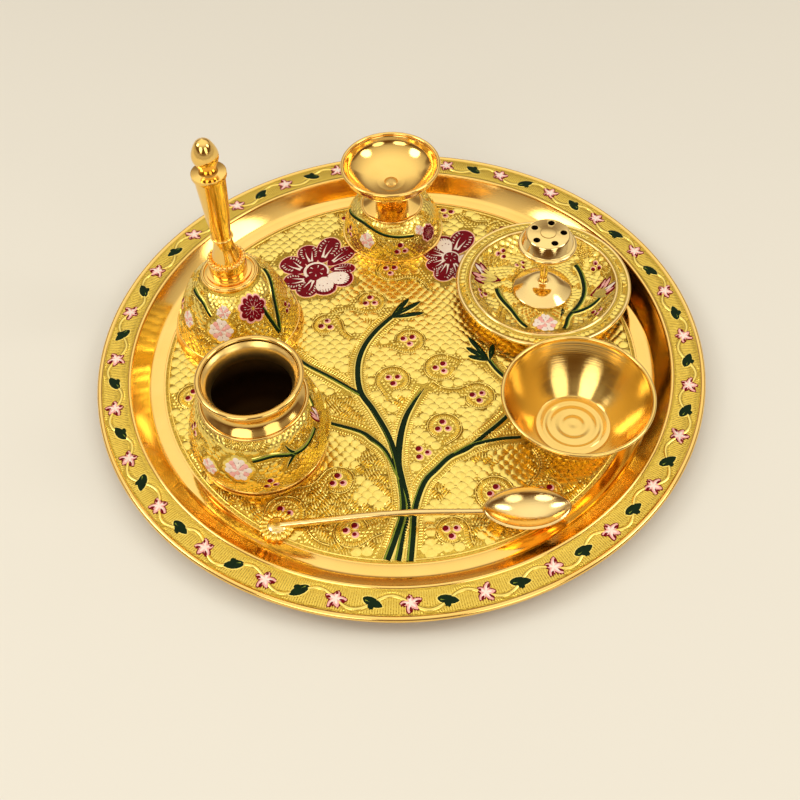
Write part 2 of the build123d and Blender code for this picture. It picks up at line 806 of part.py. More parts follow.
rod_stations = (
    (spoon_disc_x + spoon_rod_disc_r, spoon_rod_disc_r, floor_z + spoon_disc_t),
    (rod_mid_x, spoon_rod_mid_r, rod_bowl_z + spoon_rod_arch),
    (rod_bowl_x + spoon_wall, spoon_rod_bowl_r, rod_bowl_z),
)
with BuildPart() as spoon:
    with BuildSketch(spoon_spin_plane):
        with BuildLine():
            ThreePointArc(
                (-spoon_bowl_half_l, -spoon_spin_rise),
                (0, -spoon_spin_r),
                (spoon_bowl_half_l, -spoon_spin_rise),
            )
            Polyline(
                (spoon_bowl_half_l, -spoon_spin_rise),
                (spoon_bowl_half_l, 0),
                (-spoon_bowl_half_l, 0),
                (-spoon_bowl_half_l, -spoon_spin_rise),
            )
        make_face()
    revolve(axis=spoon_spin_axis)
    split(bisect_by=Plane.XY.offset(spoon_rim_z), keep=Keep.BOTTOM)
    for x, r, z in rod_stations:
        with BuildSketch(Plane(origin=(x, spoon_y, z), x_dir=(0, 1, 0), z_dir=(1, 0, 0))):
            Circle(r)
    loft()
    with BuildSketch(spoon_spin_plane):
        with BuildLine():
            ThreePointArc(
                (spoon_wall - spoon_bowl_half_l, -spoon_spin_rise),
                (0, spoon_wall - spoon_spin_r),
                (spoon_bowl_half_l - spoon_wall, -spoon_spin_rise),
            )
            Polyline(
                (spoon_bowl_half_l - spoon_wall, -spoon_spin_rise),
                (spoon_bowl_half_l - spoon_wall, 0),
                (spoon_wall - spoon_bowl_half_l, 0),
                (spoon_wall - spoon_bowl_half_l, -spoon_spin_rise),
            )
        make_face()
    revolve(axis=spoon_spin_axis, mode=Mode.SUBTRACT)
    with BuildSketch(Plane(origin=(spoon_disc_x, spoon_y, floor_z))):
        Circle(spoon_disc_r)
        with PolarLocations(spoon_disc_r, spoon_petal_count):
            Circle(spoon_petal_r)
    extrude(amount=spoon_disc_t)
    with BuildSketch(Plane(origin=(spoon_disc_x, spoon_y, floor_z + spoon_disc_t))):
        Circle(spoon_boss_r)
    extrude(amount=spoon_boss_h)
spoon.part.label = "spoon"
export_step(spoon.part, "parts/spoon.step")
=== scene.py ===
"""Brass puja thali set: chased tray with enamel flowers, bell, lota, lamp, incense stand, katori and spoon.

Outlines and drawings are in millimetres. Turned outlines are (radius, height above the tray's floor), and
drawings on a surface are (x, y, lift), where lift stands off the surface.
"""

import random
from bisect import bisect
from collections import namedtuple
from math import atan2, cos, degrees, hypot, log, pi, radians, sin, tan, tau

import bmesh
import bpy
from mathutils import Matrix, Vector, noise


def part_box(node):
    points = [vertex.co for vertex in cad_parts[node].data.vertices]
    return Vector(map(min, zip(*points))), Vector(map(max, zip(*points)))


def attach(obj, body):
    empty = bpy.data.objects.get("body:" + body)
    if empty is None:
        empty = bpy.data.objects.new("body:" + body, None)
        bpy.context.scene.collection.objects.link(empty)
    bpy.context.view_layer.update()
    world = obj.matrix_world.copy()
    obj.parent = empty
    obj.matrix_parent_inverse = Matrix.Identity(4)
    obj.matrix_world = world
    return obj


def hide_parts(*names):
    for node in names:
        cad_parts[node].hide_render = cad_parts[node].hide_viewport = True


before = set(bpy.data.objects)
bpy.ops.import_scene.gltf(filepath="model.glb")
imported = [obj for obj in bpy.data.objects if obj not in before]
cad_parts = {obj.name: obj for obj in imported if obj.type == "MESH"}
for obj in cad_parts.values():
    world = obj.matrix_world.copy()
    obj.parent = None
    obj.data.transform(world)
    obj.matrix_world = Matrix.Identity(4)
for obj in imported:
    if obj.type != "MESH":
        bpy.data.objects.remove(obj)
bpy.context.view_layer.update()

scene = bpy.context.scene
MM = 0.001
floor_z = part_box("bell_cup")[0][2] / MM

# Sizes of the tray, height from its underside
sheet = 1.6
rim_top = 9.2
rim_edge_r = 1.3
rim_outer_r = 138.7
rim_inner_r = 125.2
rim_mid_r = 132.2
wall_foot_r = 117.0
chased_r = 110.7


# Shader maths


class Value:
    """A socket in a finish's node tree. Arithmetic on it adds Math nodes."""

    def __init__(self, finish, socket):
        self.finish = finish
        self.socket = socket

    def math(self, operation, first, second):
        return self.finish.node("Math", {0: first, 1: second}, operation=operation)

    def __add__(self, other):
        return self.math("ADD", self, other)

    def __sub__(self, other):
        return self.math("SUBTRACT", self, other)

    def __mul__(self, other):
        return self.math("MULTIPLY", self, other)

    def __rsub__(self, other):
        return self.math("SUBTRACT", other, self)

    __radd__ = __add__
    __rmul__ = __mul__


class Finish:
    """Nodes of a material or of the world, which feed the shader at their end."""

    def __init__(self, owner, shader="Principled BSDF"):
        owner.use_nodes = True
        self.owner = owner
        self.tree = owner.node_tree
        self.shader = self.tree.nodes[shader]

    def feed(self, socket, value):
        if isinstance(value, Value):
            self.tree.links.new(value.socket, socket)
        else:
            socket.default_value = value

    def node(self, kind, inputs=None, output=0, **settings):
        """A shader node of that kind with its inputs and settings, and the value of one of its outputs."""
        made = self.tree.nodes.new("ShaderNode" + kind)
        for name, setting in settings.items():
            setattr(made, name, setting)
        for name, value in (inputs or {}).items():
            self.feed(made.inputs[name], value)
        return Value(self, made.outputs[output])

    def set(self, **sockets):
        for name, value in sockets.items():
            self.feed(self.shader.inputs[name.replace("_", " ")], value)
        return self.owner

    def metal(self, colour, rough, relief, strength, distance):
        """Bare metal of that colour and roughness, with a fine relief."""
        bumps = self.bump(relief, strength, distance)
        return self.set(Base_Color=colour, Metallic=1.0, Roughness=rough, Normal=bumps)

    def place(self, centre=(0, 0), stretch=(1, 1, 1)):
        """Object coordinates in millimetres, centred on an upright axis and stretched."""
        here = self.node("TexCoord", output="Object")
        scale = tuple(s / MM for s in stretch)
        shift = tuple(-c * s for c, s in zip((*centre, 0), stretch))
        return self.node("Mapping", {"Vector": here, "Scale": scale, "Location": shift})

    def turned(self, centre):
        """Coordinates that are alike all round an upright axis: distance from it, and height."""
        apart = self.node("SeparateXYZ", {0: self.place(centre)})
        flat = self.node("CombineXYZ", {0: apart, 1: self.output_of(apart, 1)})
        reach = self.node("VectorMath", {0: flat}, "Value", operation="LENGTH")
        return self.node("CombineXYZ", {0: reach, 1: self.output_of(apart, 2)})

    def output_of(self, value, index):
        return Value(self, value.socket.node.outputs[index])

    def noise(self, vector, scale, detail=2.0):
        return self.node("TexNoise", {"Vector": vector, "Scale": scale, "Detail": detail})

    def ramp(self, value, low, high):
        """A share that goes smoothly from 0 at the low value to 1 at the high one."""
        ends = {"Value": value, "From Min": low, "From Max": high}
        return self.node("MapRange", ends, interpolation_type="SMOOTHSTEP")

    def mix(self, share, first, second):
        """A colour that goes from the first to the second."""
        ends = {0: share, 6: (*first, 1.0), 7: (*second, 1.0)}
        return self.node("Mix", ends, 2, data_type="RGBA")

    def bump(self, height, strength, distance):
        inputs = {"Height": height, "Strength": strength, "Distance": distance * MM}
        return self.node("Bump", inputs)


def material(name):
    return Finish(bpy.data.materials.new(name))


brass_light = (0.95, 0.67, 0.22)
brass_warm = (0.92, 0.56, 0.13)


def polished_brass(name, centre, streak=0.25, light=brass_light, warm=brass_warm, dull=0.03):
    """Mirror brass turned on a lathe: fine rings from the polish and a little unevenness in the gloss."""
    finish = material(name)
    rings = finish.noise(finish.turned(centre), 2.2, 3.0)
    cloud = finish.noise(finish.place(), 0.05, 4.0)
    rough = dull + cloud * 0.10 + rings * 0.04
    return finish.metal(finish.mix(cloud, light, warm), rough, rings, streak, 0.06)


def chased_brass(name, deep, light):
    """The sunk ground between the chased marks: stippled and darker."""
    finish = material(name)
    here = finish.place()
    grain = finish.noise(here, 1.1, 3.0)
    cloud = finish.noise(here, 0.04, 3.0)
    colour = finish.mix(grain * 0.7 + cloud * 0.3, deep, light)
    return finish.metal(colour, 0.26 + grain * 0.14, grain, 0.9, 0.6)


def brushed_brass(name, stretch):
    """Brass rubbed along one direction, with fine long scratches."""
    finish = material(name)
    scratches = finish.noise(finish.place(stretch=stretch), 1.0, 5.0)
    cloud = finish.noise(finish.place(), 0.08, 3.0)
    colour = finish.mix(cloud, (0.93, 0.71, 0.32), (0.87, 0.60, 0.20))
    return finish.metal(colour, 0.07 + scratches * 0.10, scratches, 0.5, 0.07)


def grained_brass(name, light, deep, size, detail, rough, uneven, strength, distance):
    """Brass with one grain of that size in its colour, gloss and relief."""
    finish = material(name)
    grain = finish.noise(finish.place(), size, detail)
    return finish.metal(finish.mix(grain, light, deep), rough + grain * uneven, grain, strength, distance)


def pot_inside_painted_shade(name, low, high):
    """Inside of a pot: polished at its neck, with painted shade that darkens its colour from the low height
    down, standing in for the shadow in the belly.
    """
    finish = material(name)
    here = finish.place()
    height = finish.output_of(finish.node("SeparateXYZ", {0: here}), 2)
    cloud = finish.noise(here, 0.35, 5.0)
    bright = finish.ramp(height + cloud * 2.0, floor_z + low, floor_z + high)
    # Painted shade: the colour goes from brass to dark brown below the neck, where the belly falls into
    # shadow.
    colour = finish.mix(bright, (0.10, 0.052, 0.016), brass_light)
    return finish.metal(colour, 0.55 - bright * 0.25, cloud, 0.1, 0.1)


def enamel(name, light, deep):
    """Glassy colour fired into the metal, a little cloudy and uneven on top."""
    finish = material(name)
    here = finish.place()
    cloud = finish.noise(here, 0.45, 3.0)
    swell = finish.noise(here, 0.9, 1.0)
    return finish.set(
        Base_Color=finish.mix(cloud, light, deep),
        Roughness=0.25 + cloud * 0.15,
        Specular_IOR_Level=0.06,
        Normal=finish.bump(swell, 0.25, 0.2),
    )


chased = chased_brass("chased brass", (0.34, 0.20, 0.02), (0.74, 0.53, 0.08))
rim_ground = chased_brass("rim ground", (0.44, 0.27, 0.02), (0.80, 0.57, 0.09))
sunk = chased_brass("sunk brass", (0.16, 0.08, 0.008), (0.40, 0.25, 0.03))
rubbed = {"size": 0.7, "detail": 3.0, "rough": 0.18, "uneven": 0.12, "strength": 0.15, "distance": 0.15}
raised = grained_brass("raised chasing", (1.0, 0.80, 0.23), (0.78, 0.57, 0.10), **rubbed)
rim_raised = grained_brass("rim chasing", (0.88, 0.66, 0.14), (0.66, 0.45, 0.06), **rubbed)
spoon_brush = brushed_brass("brushed brass", (0.12, 3.0, 3.0))
plain = {"size": 0.35, "detail": 5.0, "uneven": 0.2, "strength": 0.2, "distance": 0.1}
hardware = grained_brass("plain brass", (0.72, 0.47, 0.14), (0.52, 0.32, 0.09), rough=0.28, **plain)
# Dark brass for the walls of the stick holes: painted shade, standing in for the shadow inside them.
painted_hole_shade = grained_brass("tarnished brass", (0.09, 0.05, 0.02), (0.04, 0.02, 0.008), rough=0.45, **plain)
maroon = enamel("maroon enamel", (0.23, 0.002, 0.010), (0.11, 0.001, 0.004))
pink = enamel("pink enamel", (0.90, 0.54, 0.46), (0.80, 0.32, 0.29))
white = enamel("white enamel", (0.86, 0.80, 0.68), (0.84, 0.68, 0.58))
green = enamel("green enamel", (0.008, 0.026, 0.007), (0.003, 0.009, 0.003))
# Paler green enamel: real veins on the leaves, and a painted highlight along one side of each stem.
vein_and_highlight_green = enamel("leaf green enamel", (0.34, 0.38, 0.05), (0.12, 0.22, 0.02))

slots = {finish: finish.name.replace(" ", "_") for finish in (maroon, pink, white, green)}
slots[vein_and_highlight_green] = slots[green]


# Outlines


def smooth(points, steps=8):
    """Points of a smooth curve through the given points."""
    knots = [Vector(p) for p in points]
    knots = [2 * knots[0] - knots[1], *knots, 2 * knots[-1] - knots[-2]]
    curve = []
    for a, b, c, d in zip(knots, knots[1:], knots[2:], knots[3:]):
        for i in range(steps):
            t = i / steps
            swing = (2 * a - 5 * b + 4 * c - d) * t**2 + (3 * b - a - 3 * c + d) * t**3
            curve.append((2 * b + (c - a) * t + swing) / 2)
    return [tuple(p) for p in curve] + [tuple(knots[-2])]


def arc(centre, radius, start, end, steps=12):
    """Points of an arc, from one bearing to another in degrees."""
    turns = [radians(start + (end - start) * i / steps) for i in range(steps + 1)]
    return [(centre[0] + radius * cos(a), centre[1] + radius * sin(a)) for a in turns]


def polar(bearing, reach=1.0):
    """A step of that reach, at a bearing in radians."""
    return Vector((cos(bearing), sin(bearing))) * reach


def eased(before, corner, after, radius, steps=8):
    """A corner between two runs, rounded to about that radius."""
    corner = Vector(corner)
    back = (Vector(before) - corner).normalized()
    on = (Vector(after) - corner).normalized()
    reach = radius / tan(back.angle(on) / 2)
    start, end = corner + back * reach, corner + on * reach
    shares = [i / steps for i in range(steps + 1)]
    return [tuple(start * (1 - t) ** 2 + corner * 2 * t * (1 - t) + end * t**2) for t in shares]


def bowed(start, end, shares, steps=10):
    """A smooth side from start to end, through points at their shares of the way across and up."""
    wide, high = end[0] - start[0], end[1] - start[1]
    inner = [(start[0] + wide * across, start[1] + high * up) for across, up in shares]
    return smooth([start, *inner, end], steps)


def parted(outline, height):
    """The outline in two, below and above a height."""
    cut = next(i for i, p in enumerate(outline) if p[1] >= height)
    return outline[: cut + 1], outline[cut:]


# Making pieces

# What the turned pieces of a vessel share: where their axis stands, their body and their polish
Lathe = namedtuple("Lathe", "place body polish")


def lathe(node, body, **polish):
    """The lathe for a vessel, on the upright axis of a node."""
    low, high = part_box(node)
    place = ((low[0] + high[0]) / 2 / MM, (low[1] + high[1]) / 2 / MM)
    return Lathe(place, body, polished_brass(body.split("_")[0] + " polish", place, **polish))


def mesh_of(bm, name):
    """A loose mesh from a bmesh."""
    mesh = bpy.data.meshes.new(name)
    bm.to_mesh(mesh)
    bm.free()
    return mesh


def put(name, data):
    """A new object in the scene."""
    made = bpy.data.objects.new(name, data)
    scene.collection.objects.link(made)
    return made


def piece(name, bm, finishes, body, slot, crease=35):
    """A finished piece from a bmesh in metres: smooth, with its sharp edges kept, riding on a body."""
    mesh = mesh_of(bm, name)
    mesh.shade_smooth()
    mesh.set_sharp_from_angle(angle=radians(crease))
    for finish in finishes:
        mesh.materials.append(finish)
    made = put(name, mesh)
    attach(made, body)
    return made


def spun(name, lathe, runs, slot="polished_brass", steps=128, soft=0.12, base=floor_z):
    """A turned piece with softened edges: outlines spun round its axis, polished or in their own finish."""
    bm = bmesh.new()
    runs = [run if isinstance(run, tuple) else (lathe.polish, run) for run in runs]
    finishes = list(dict.fromkeys(finish for finish, _ in runs))
    for finish, outline in runs:
        before = set(bm.faces)
        verts = [bm.verts.new((r, 0, z)) for r, z in outline]
        edges = [bm.edges.new(pair) for pair in zip(verts, verts[1:])]
        bmesh.ops.spin(bm, geom=verts + edges, axis=(0, 0, 1), angle=tau, steps=steps, use_merge=True)
        for face in set(bm.faces) - before:
            face.material_index = finishes.index(finish)
    bmesh.ops.remove_doubles(bm, verts=bm.verts, dist=0.001)
    bmesh.ops.recalc_face_normals(bm, faces=bm.faces)
    corners = [e for e in bm.edges if e.is_manifold and e.calc_face_angle() > radians(38)]
    if soft and corners:
        look = {"segments": 2, "profile": 0.5, "material": -1, "clamp_overlap": True}
        bmesh.ops.bevel(bm, geom=corners, affect="EDGES", offset=soft, **look)
    stand = Matrix.Translation(Vector((*lathe.place, base)) * MM) @ Matrix.Scale(MM, 4)
    bmesh.ops.transform(bm, matrix=stand, verts=bm.verts)
    return piece(name, bm, finishes, lathe.body, slot)


def ring(name, lathe, radius, height, thickness):
    """A thin bead round a turned vessel."""
    outline = arc((radius, height), thickness, 0, 360)
    spun(name, lathe, [outline], steps=96, soft=0)


def places_round(lathe, count, radius, height):
    """Matrices of places in millimetres, evenly round a lathe's axis."""
    x, y = lathe.place
    turns = [tau * i / count for i in range(count)]
    return [Matrix.Translation((x + radius * cos(a), y + radius * sin(a), floor_z + height)) for a in turns]


def to_metres(bm):
    bmesh.ops.scale(bm, vec=(MM, MM, MM), verts=bm.verts)


def tube(points, radii, flatten=1.0, sides=2):
    """Mesh of a round bar through the points, with a radius at each, its height flattened."""
    line = bpy.data.curves.new("line", "CURVE")
    line.dimensions = "3D"
    line.bevel_depth = 1.0
    line.bevel_resolution = sides
    line.use_fill_caps = True
    spline = line.splines.new("POLY")
    spline.points.add(len(points) - 1)
    for knot, place, radius in zip(spline.points, points, radii):
        knot.co = (*place, 1.0)
        knot.radius = radius
    carrier = bpy.data.objects.new("line", line)
    mesh = bpy.data.meshes.new_from_object(carrier)
    mesh.transform(Matrix.Diagonal((1, 1, flatten, 1)))
    bpy.data.objects.remove(carrier)
    bpy.data.curves.remove(line)
    return mesh


# Surfaces that drawings are laid on


def tray_floor(x, y, lift):
    """The tray's flat floor."""
    return Vector((x, y, floor_z + lift))


def tray_rim(x, y, lift):
    """The rim band: x runs round it at its middle, y runs outwards."""
    bearing = x / rim_mid_r
    reach = rim_mid_r + y
    return Vector((reach * sin(bearing), -reach * cos(bearing), rim_top + lift))


class Skin:
    """A turned vessel's side: x runs round it at its middle radius, from the front, and y up its outline."""

    def __init__(self, place, outline, by_radius=False):
        self.place = place
        self.by = 0 if by_radius else 1
        self.points = [Vector(outline[0])]
        self.reaches = [0.0]
        for end in outline[1:]:
            start = self.points[-1]
            way = Vector(end) - start
            count = max(1, round(way.length / 0.5))
            for i in range(count):
                self.points.append(start + way * (i + 1) / count)
                self.reaches.append(self.reaches[-1] + way.length / count)
        self.mid_r = sum(p.x for p in self.points) / len(self.points)

    def at(self, y):
        """Point of the outline at a reach along it, and the way that it runs there."""
        i = min(max(bisect(self.reaches, y) - 1, 0), len(self.points) - 2)
        way = (self.points[i + 1] - self.points[i]).normalized()
        return self.points[i] + way * (y - self.reaches[i]), way

    def __call__(self, x, y, lift):
        point, way = self.at(y)
        r, z = point.x + way.y * lift, point.y - way.x * lift
        bearing = x / self.mid_r
        return Vector((self.place[0] + r * sin(bearing), self.place[1] - r * cos(bearing), floor_z + z))

    def spot(self, bearing, where):
        """Drawing place at a bearing in degrees from the front, and at a height or by radius."""
        i = min(range(len(self.points)), key=lambda i: abs(self.points[i][self.by] - where))
        return Vector((radians(bearing) * self.mid_r, self.reaches[i]))

    def squeeze(self, y):
        """How much wider a drawing has to be at that reach to keep its real width."""
        return self.mid_r / self.at(y)[0].x


def grown_top(bm):
    """Grows a top out of a flat face. Its one face is given in a list."""
    grown = bmesh.ops.extrude_face_region(bm, geom=bm.faces[:], use_keep_orig=True)["geom"]
    return [g for g in grown if isinstance(g, bmesh.types.BMFace)]


blades = {}


def unit_blade(belly, point, sides):
    """A leaf one wide, long and high with a crowned top, widest at the belly share, more or less pointed."""
    if (belly, point, sides) not in blades:
        bm = bmesh.new()
        rim_verts = bmesh.ops.create_circle(bm, cap_ends=True, segments=sides, radius=0.5)["verts"]
        for v in rim_verts:
            share = max(0.5 + v.co.y, 0)
            v.co.x *= max(4 * share * (1 - share), 0) ** point
            v.co.y = share ** (log(belly) / log(0.5))
        top = grown_top(bm)
        bmesh.ops.translate(bm, vec=(0, 0, 0.55), verts=top[0].verts)
        bmesh.ops.inset_region(bm, faces=top, thickness=0.12, depth=0.3)
        bmesh.ops.inset_region(bm, faces=top, thickness=0.12, depth=0.15)
        blades[belly, point, sides] = mesh_of(bm, "blade")
    return blades[belly, point, sides]


class Drawing:
    """Shapes drawn flat on a surface, kept apart by finish, then laid on it as pieces."""

    def __init__(self, surface):
        self.surface = surface
        self.sheets = {}
        self.spots = []

    def add(self, finish, mesh):
        """Adds a mesh and lets go of it."""
        if finish not in self.sheets:
            self.sheets[finish] = bmesh.new()
        self.sheets[finish].from_mesh(mesh)
        bpy.data.meshes.remove(mesh)

    def mark(self, finish, mesh, centre, turn, size, rise=0.0):
        """Adds a copy of a small mesh at a centre, turned in radians and sized."""
        copy = mesh.copy()
        place = Matrix.Translation((*centre, rise)) @ Matrix.Rotation(turn, 4, "Z")
        copy.transform(place @ Matrix.Diagonal((*size, 1)))
        self.add(finish, copy)

    def blade(self, finish, base, tip, width, lift, belly=0.5, point=0.0, sides=14):
        """A leaf or petal from base to tip."""
        way = Vector(tip) - Vector(base)
        size = (width, way.length, lift + 0.05)
        self.mark(finish, unit_blade(belly, point, sides), base, atan2(-way.x, way.y), size, -0.05)

    def dot(self, finish, centre, radius, lift, sides=12):
        """A round drop of enamel."""
        x, y = centre
        self.blade(finish, (x, y - radius), (x, y + radius), 2 * radius, lift, sides=sides)

    def line(self, finish, points, width, lift, taper=(1.0, 1.0), steps=8):
        """A rounded line through the points, its width following the shares from end to end."""
        way = smooth([(p[0], p[1]) for p in points], steps)
        swell = []
        for i in range(len(way)):
            place = i / (len(way) - 1) * (len(taper) - 1)
            k = min(int(place), len(taper) - 2)
            swell.append(taper[k] + (taper[k + 1] - taper[k]) * (place - k))
        mesh = tube([(*p, 0) for p in way], [width / 2 * s for s in swell], flatten=2 * lift / width)
        self.add(finish, mesh)
        return way

    def stroke(self, finish, start, end, width, lift, taper=(1.0, 0.5)):
        """A short straight line."""
        self.line(finish, [start, end], width, lift, taper, 2)

    def squeeze(self, spot):
        """How much wider a motif is drawn there to keep its real width on a turned surface."""
        return self.surface.squeeze(spot[1]) if isinstance(self.surface, Skin) else 1.0

    def motif(self, centre, size=1.0, turn=0):
        """A function for places in a motif, at a reach in shares of its size and a bearing in degrees."""
        centre = Vector(centre)
        squeeze = self.squeeze(centre)

        def spot(reach, bearing):
            a = radians(bearing + turn)
            return centre + Vector((cos(a) * squeeze, sin(a))) * reach * size

        return spot

    def clear(self, x, y, room):
        """Whether a place keeps that room to every motif."""
        return all(hypot(x - ox, y - oy) > reach + room for ox, oy, reach in self.spots)

    def lay(self, name, body, slot="chased_brass"):
        """Lays every sheet on the surface as a piece of its own."""
        for finish, bm in self.sheets.items():
            for v in bm.verts:
                v.co = self.surface(*v.co) * MM
            bmesh.ops.recalc_face_normals(bm, faces=bm.faces)
            sheet_name = name + "_" + finish.name.split()[0]
            piece(sheet_name, bm, [finish], body, slots.get(finish, slot), crease=60)


# Small chased marks


def scale_mark(rounded):
    """A round scale one millimetre across, higher at its arched end, and domed if rounded."""
    bm = bmesh.new()
    for v in bmesh.ops.create_circle(bm, cap_ends=True, segments=8, radius=0.5)["verts"]:
        v.co.z = -0.3
    top = grown_top(bm)
    for v in top[0].verts:
        v.co.z = 0.1 + 0.4 * v.co.y
    if rounded:
        bmesh.ops.inset_region(bm, faces=top, thickness=0.2, depth=0.3)
    return mesh_of(bm, "scale mark")


def tick_mark():
    """A short straight ridge, one millimetre long and wide."""
    bm = bmesh.new()
    half = 0.5**0.5
    bmesh.ops.create_cone(bm, cap_ends=True, segments=4, radius1=half, radius2=half * 0.3, depth=1.1)
    bmesh.ops.rotate(bm, matrix=Matrix.Rotation(pi / 4, 3, "Z"), verts=bm.verts)
    bmesh.ops.translate(bm, vec=(0, 0, 0.45), verts=bm.verts)
    return mesh_of(bm, "tick mark")


scale, scale_bed = scale_mark(True), scale_mark(False)
tick = tick_mark()


def stations(way, pitch):
    """Evenly spaced places along a line, each with the way on and the way to its left."""
    points = [Vector(p) for p in way]
    travelled, due = 0.0, 0.0
    for a, b in zip(points, points[1:]):
        run = (b - a).length
        while run and due <= travelled + run:
            on = (b - a) / run
            yield a + (b - a) * (due - travelled) / run, on, Vector((-on.y, on.x))
            due += pitch
        travelled += run


def beside(way, pitch, off):
    """Evenly spaced places at a distance to the left of a line."""
    return [foot + left * off for foot, _, left in stations(way, pitch)]


def ladder(art, way, gap, length, pitch=1.25, sides=(-1, 1), lift=0.42):
    """Short ticks beside a line and square to it."""
    for foot, on, left in stations(way, pitch):
        for side in sides:
            centre = foot + left * side * (gap + length / 2)
            art.mark(raised, tick, centre, atan2(on.y, on.x), (pitch * 0.6, length, lift))


def scroll(art, centre, radius, turn, hand, inside):
    """A coil round a motif with short ticks on its inner side, and a tail that swings the other way."""
    centre = Vector(centre)
    tail_r = radius * 1.4
    tail_centre = centre + polar(turn, radius + tail_r)

    def open_ground(point):
        return inside(*point) and art.clear(*point, 1.0)

    tail = []
    for k in range(1, 8):
        tail.append(tail_centre + polar(turn + pi + hand * radians(17 * k), tail_r))
        if not open_ground(tail[-1]):
            break
    runs = [list(reversed(tail[:-1]))]
    for k in range(15):
        point = centre + polar(turn + hand * radians(22 * k), radius * (1 - 0.016 * k))
        if open_ground(point):
            runs[-1].append(point)
        else:
            runs.append([])
    for run in runs:
        if len(run) > 2:
            art.line(sunk, run, 1.4, 0.26, steps=4)
            way = art.line(raised, run, 0.65, 0.44, steps=4)
            ladder(art, way, 0.6, 2.3, sides=(hand,))
            art.spots += [(x, y, 0.3) for x, y in way[::2]]
            art.spots += [(x, y, 1.2) for x, y in beside(way, 2.0, hand * 1.8)]


def scales(art, low, high, pitch, inside, seed, lift, hatched):
    """Rows of overlapping scales or hatched patches, clear of the motifs, with short ticks in the gaps."""
    chance = random.Random(seed)
    columns = round((high[0] - low[0]) / pitch)
    apart = (high[0] - low[0]) / columns
    row_pitch = pitch * 0.57
    line = 0.2 * pitch
    taken = {}
    for row in range(int((high[1] - low[1]) / row_pitch)):
        for column in range(columns):
            x = low[0] + (column + 0.5 * (row % 2) + chance.uniform(0.4, 0.6)) * apart
            y = low[1] + (row + chance.uniform(0.38, 0.62)) * row_pitch
            turn = 0.9 * noise.noise((x * 0.03, y * 0.03, seed)) + chance.uniform(-0.22, 0.22)
            width = pitch * chance.uniform(0.96, 1.16)
            if not inside(x, y) or not art.clear(x, y, pitch * 0.22):
                continue
            taken.setdefault((x // pitch, y // pitch), []).append((x, y))
            squeeze = art.squeeze((x, y))
            bed = ((width + line) * squeeze, width + line, lift)
            art.mark(sunk, scale_bed, (x, y), turn, bed, -0.2 * lift)
            if not hatched(x, y):
                art.mark(raised, scale, (x, y), turn, (width * squeeze, width, lift))
                continue
            lean = turn + chance.choice((-0.6, 0.5))
            for k in (-1.5, -0.5, 0.5, 1.5):
                spot = Vector((x, y)) + polar(lean, k * 0.25 * width)
                size = (0.15 * width, width * (0.86 - 0.12 * k * k), lift * 0.75)
                art.mark(raised, tick, spot, lean, size)
    fine = pitch * 0.36
    for row in range(int((high[1] - low[1]) / fine)):
        for column in range(int((high[0] - low[0]) / fine)):
            x, y = low[0] + (column + 0.5 * (row % 2)) * fine, low[1] + (row + 0.5) * fine
            around = [(x // pitch + i, y // pitch + k) for i in (-1, 0, 1) for k in (-1, 0, 1)]
            near = any(
                hypot(x - ox, y - oy) < pitch * 0.52 for cell in around for ox, oy in taken.get(cell, ())
            )
            if not near and inside(x, y) and art.clear(x, y, 0.2):
                turn = 2.0 * noise.noise((x * 0.05, y * 0.05, seed))
                art.mark(raised, tick, (x, y), turn, (fine * 0.55, fine * 0.95, lift * 0.4))


# Tray

groove_half, groove_depth, under_step = 0.4, 0.3, 0.8
groove_in, groove_out = chased_r - groove_half, chased_r + groove_half
groove_floor = sheet - groove_depth
under_top = (rim_inner_r + under_step, rim_top - sheet)
bead = arc((rim_inner_r, rim_top - 0.45), 0.9, 200, 30)
rolled = arc((rim_outer_r, rim_top - sheet / 2), rim_edge_r, 142, -142, 20)
cove = eased((chased_r, sheet), (wall_foot_r, sheet), (rim_inner_r, rim_top), 4.0)
under_cove = eased(under_top, (wall_foot_r + under_step, 0), (0, 0), 5.6)
tray = spun(
    "tray", Lathe((0, 0), "tray", polished_brass("tray polish", (0, 0))),
    [
        (chased, [(0, sheet), (groove_in, sheet)]),
        [(groove_in, sheet), (groove_in, groove_floor), (groove_out, groove_floor), (groove_out, sheet)],
        [(groove_out, sheet), *cove, bead[0]],
        bead,
        (rim_ground, [bead[-1], rolled[0]]),
        rolled,
        [rolled[-1], under_top, *under_cove, (0, 0)],
    ],
    "chased_brass", steps=288, soft=0.08, base=0.0,
)
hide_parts("thali_tray")

# Rim: flowers and leaves on a wavy vine, with hatching between the vine and the borders

rim_pairs = 28
vine_swing = 3.3
hatch_count = 820
rim_round = tau * rim_mid_r
pair_step = rim_round / rim_pairs
rim = Drawing(tray_rim)


def vine_sway(x):
    """How far the vine swings out of the middle of the band."""
    return vine_swing * sin(tau * x / pair_step)


def rim_flower(x, turn):
    """White heart with swept pink petals, each with a maroon stroke."""
    spot = rim.motif((x, 0), turn=turn)
    layers = ((maroon, -0.9, 0.7, 3.3, 0.32), (pink, -0.9, 0.3, 2.5, 0.44), (white, -0.6, -0.6, 1.4, 0.54))
    for finish, start, past, width, lift in layers:
        for bearing, reach in ((5, 4.4), (70, 3.8), (125, 4.2), (200, 3.8), (290, 3.2)):
            rim.blade(finish, spot(start, bearing), spot(reach + past, bearing), width, lift, 0.55, 0.2)
    for bearing, reach in ((14, 4.3), (116, 4.1), (192, 3.7), (284, 3.2)):
        rim.blade(maroon, spot(1.3, bearing), spot(reach, bearing), 1.2, 0.58, point=0.2)


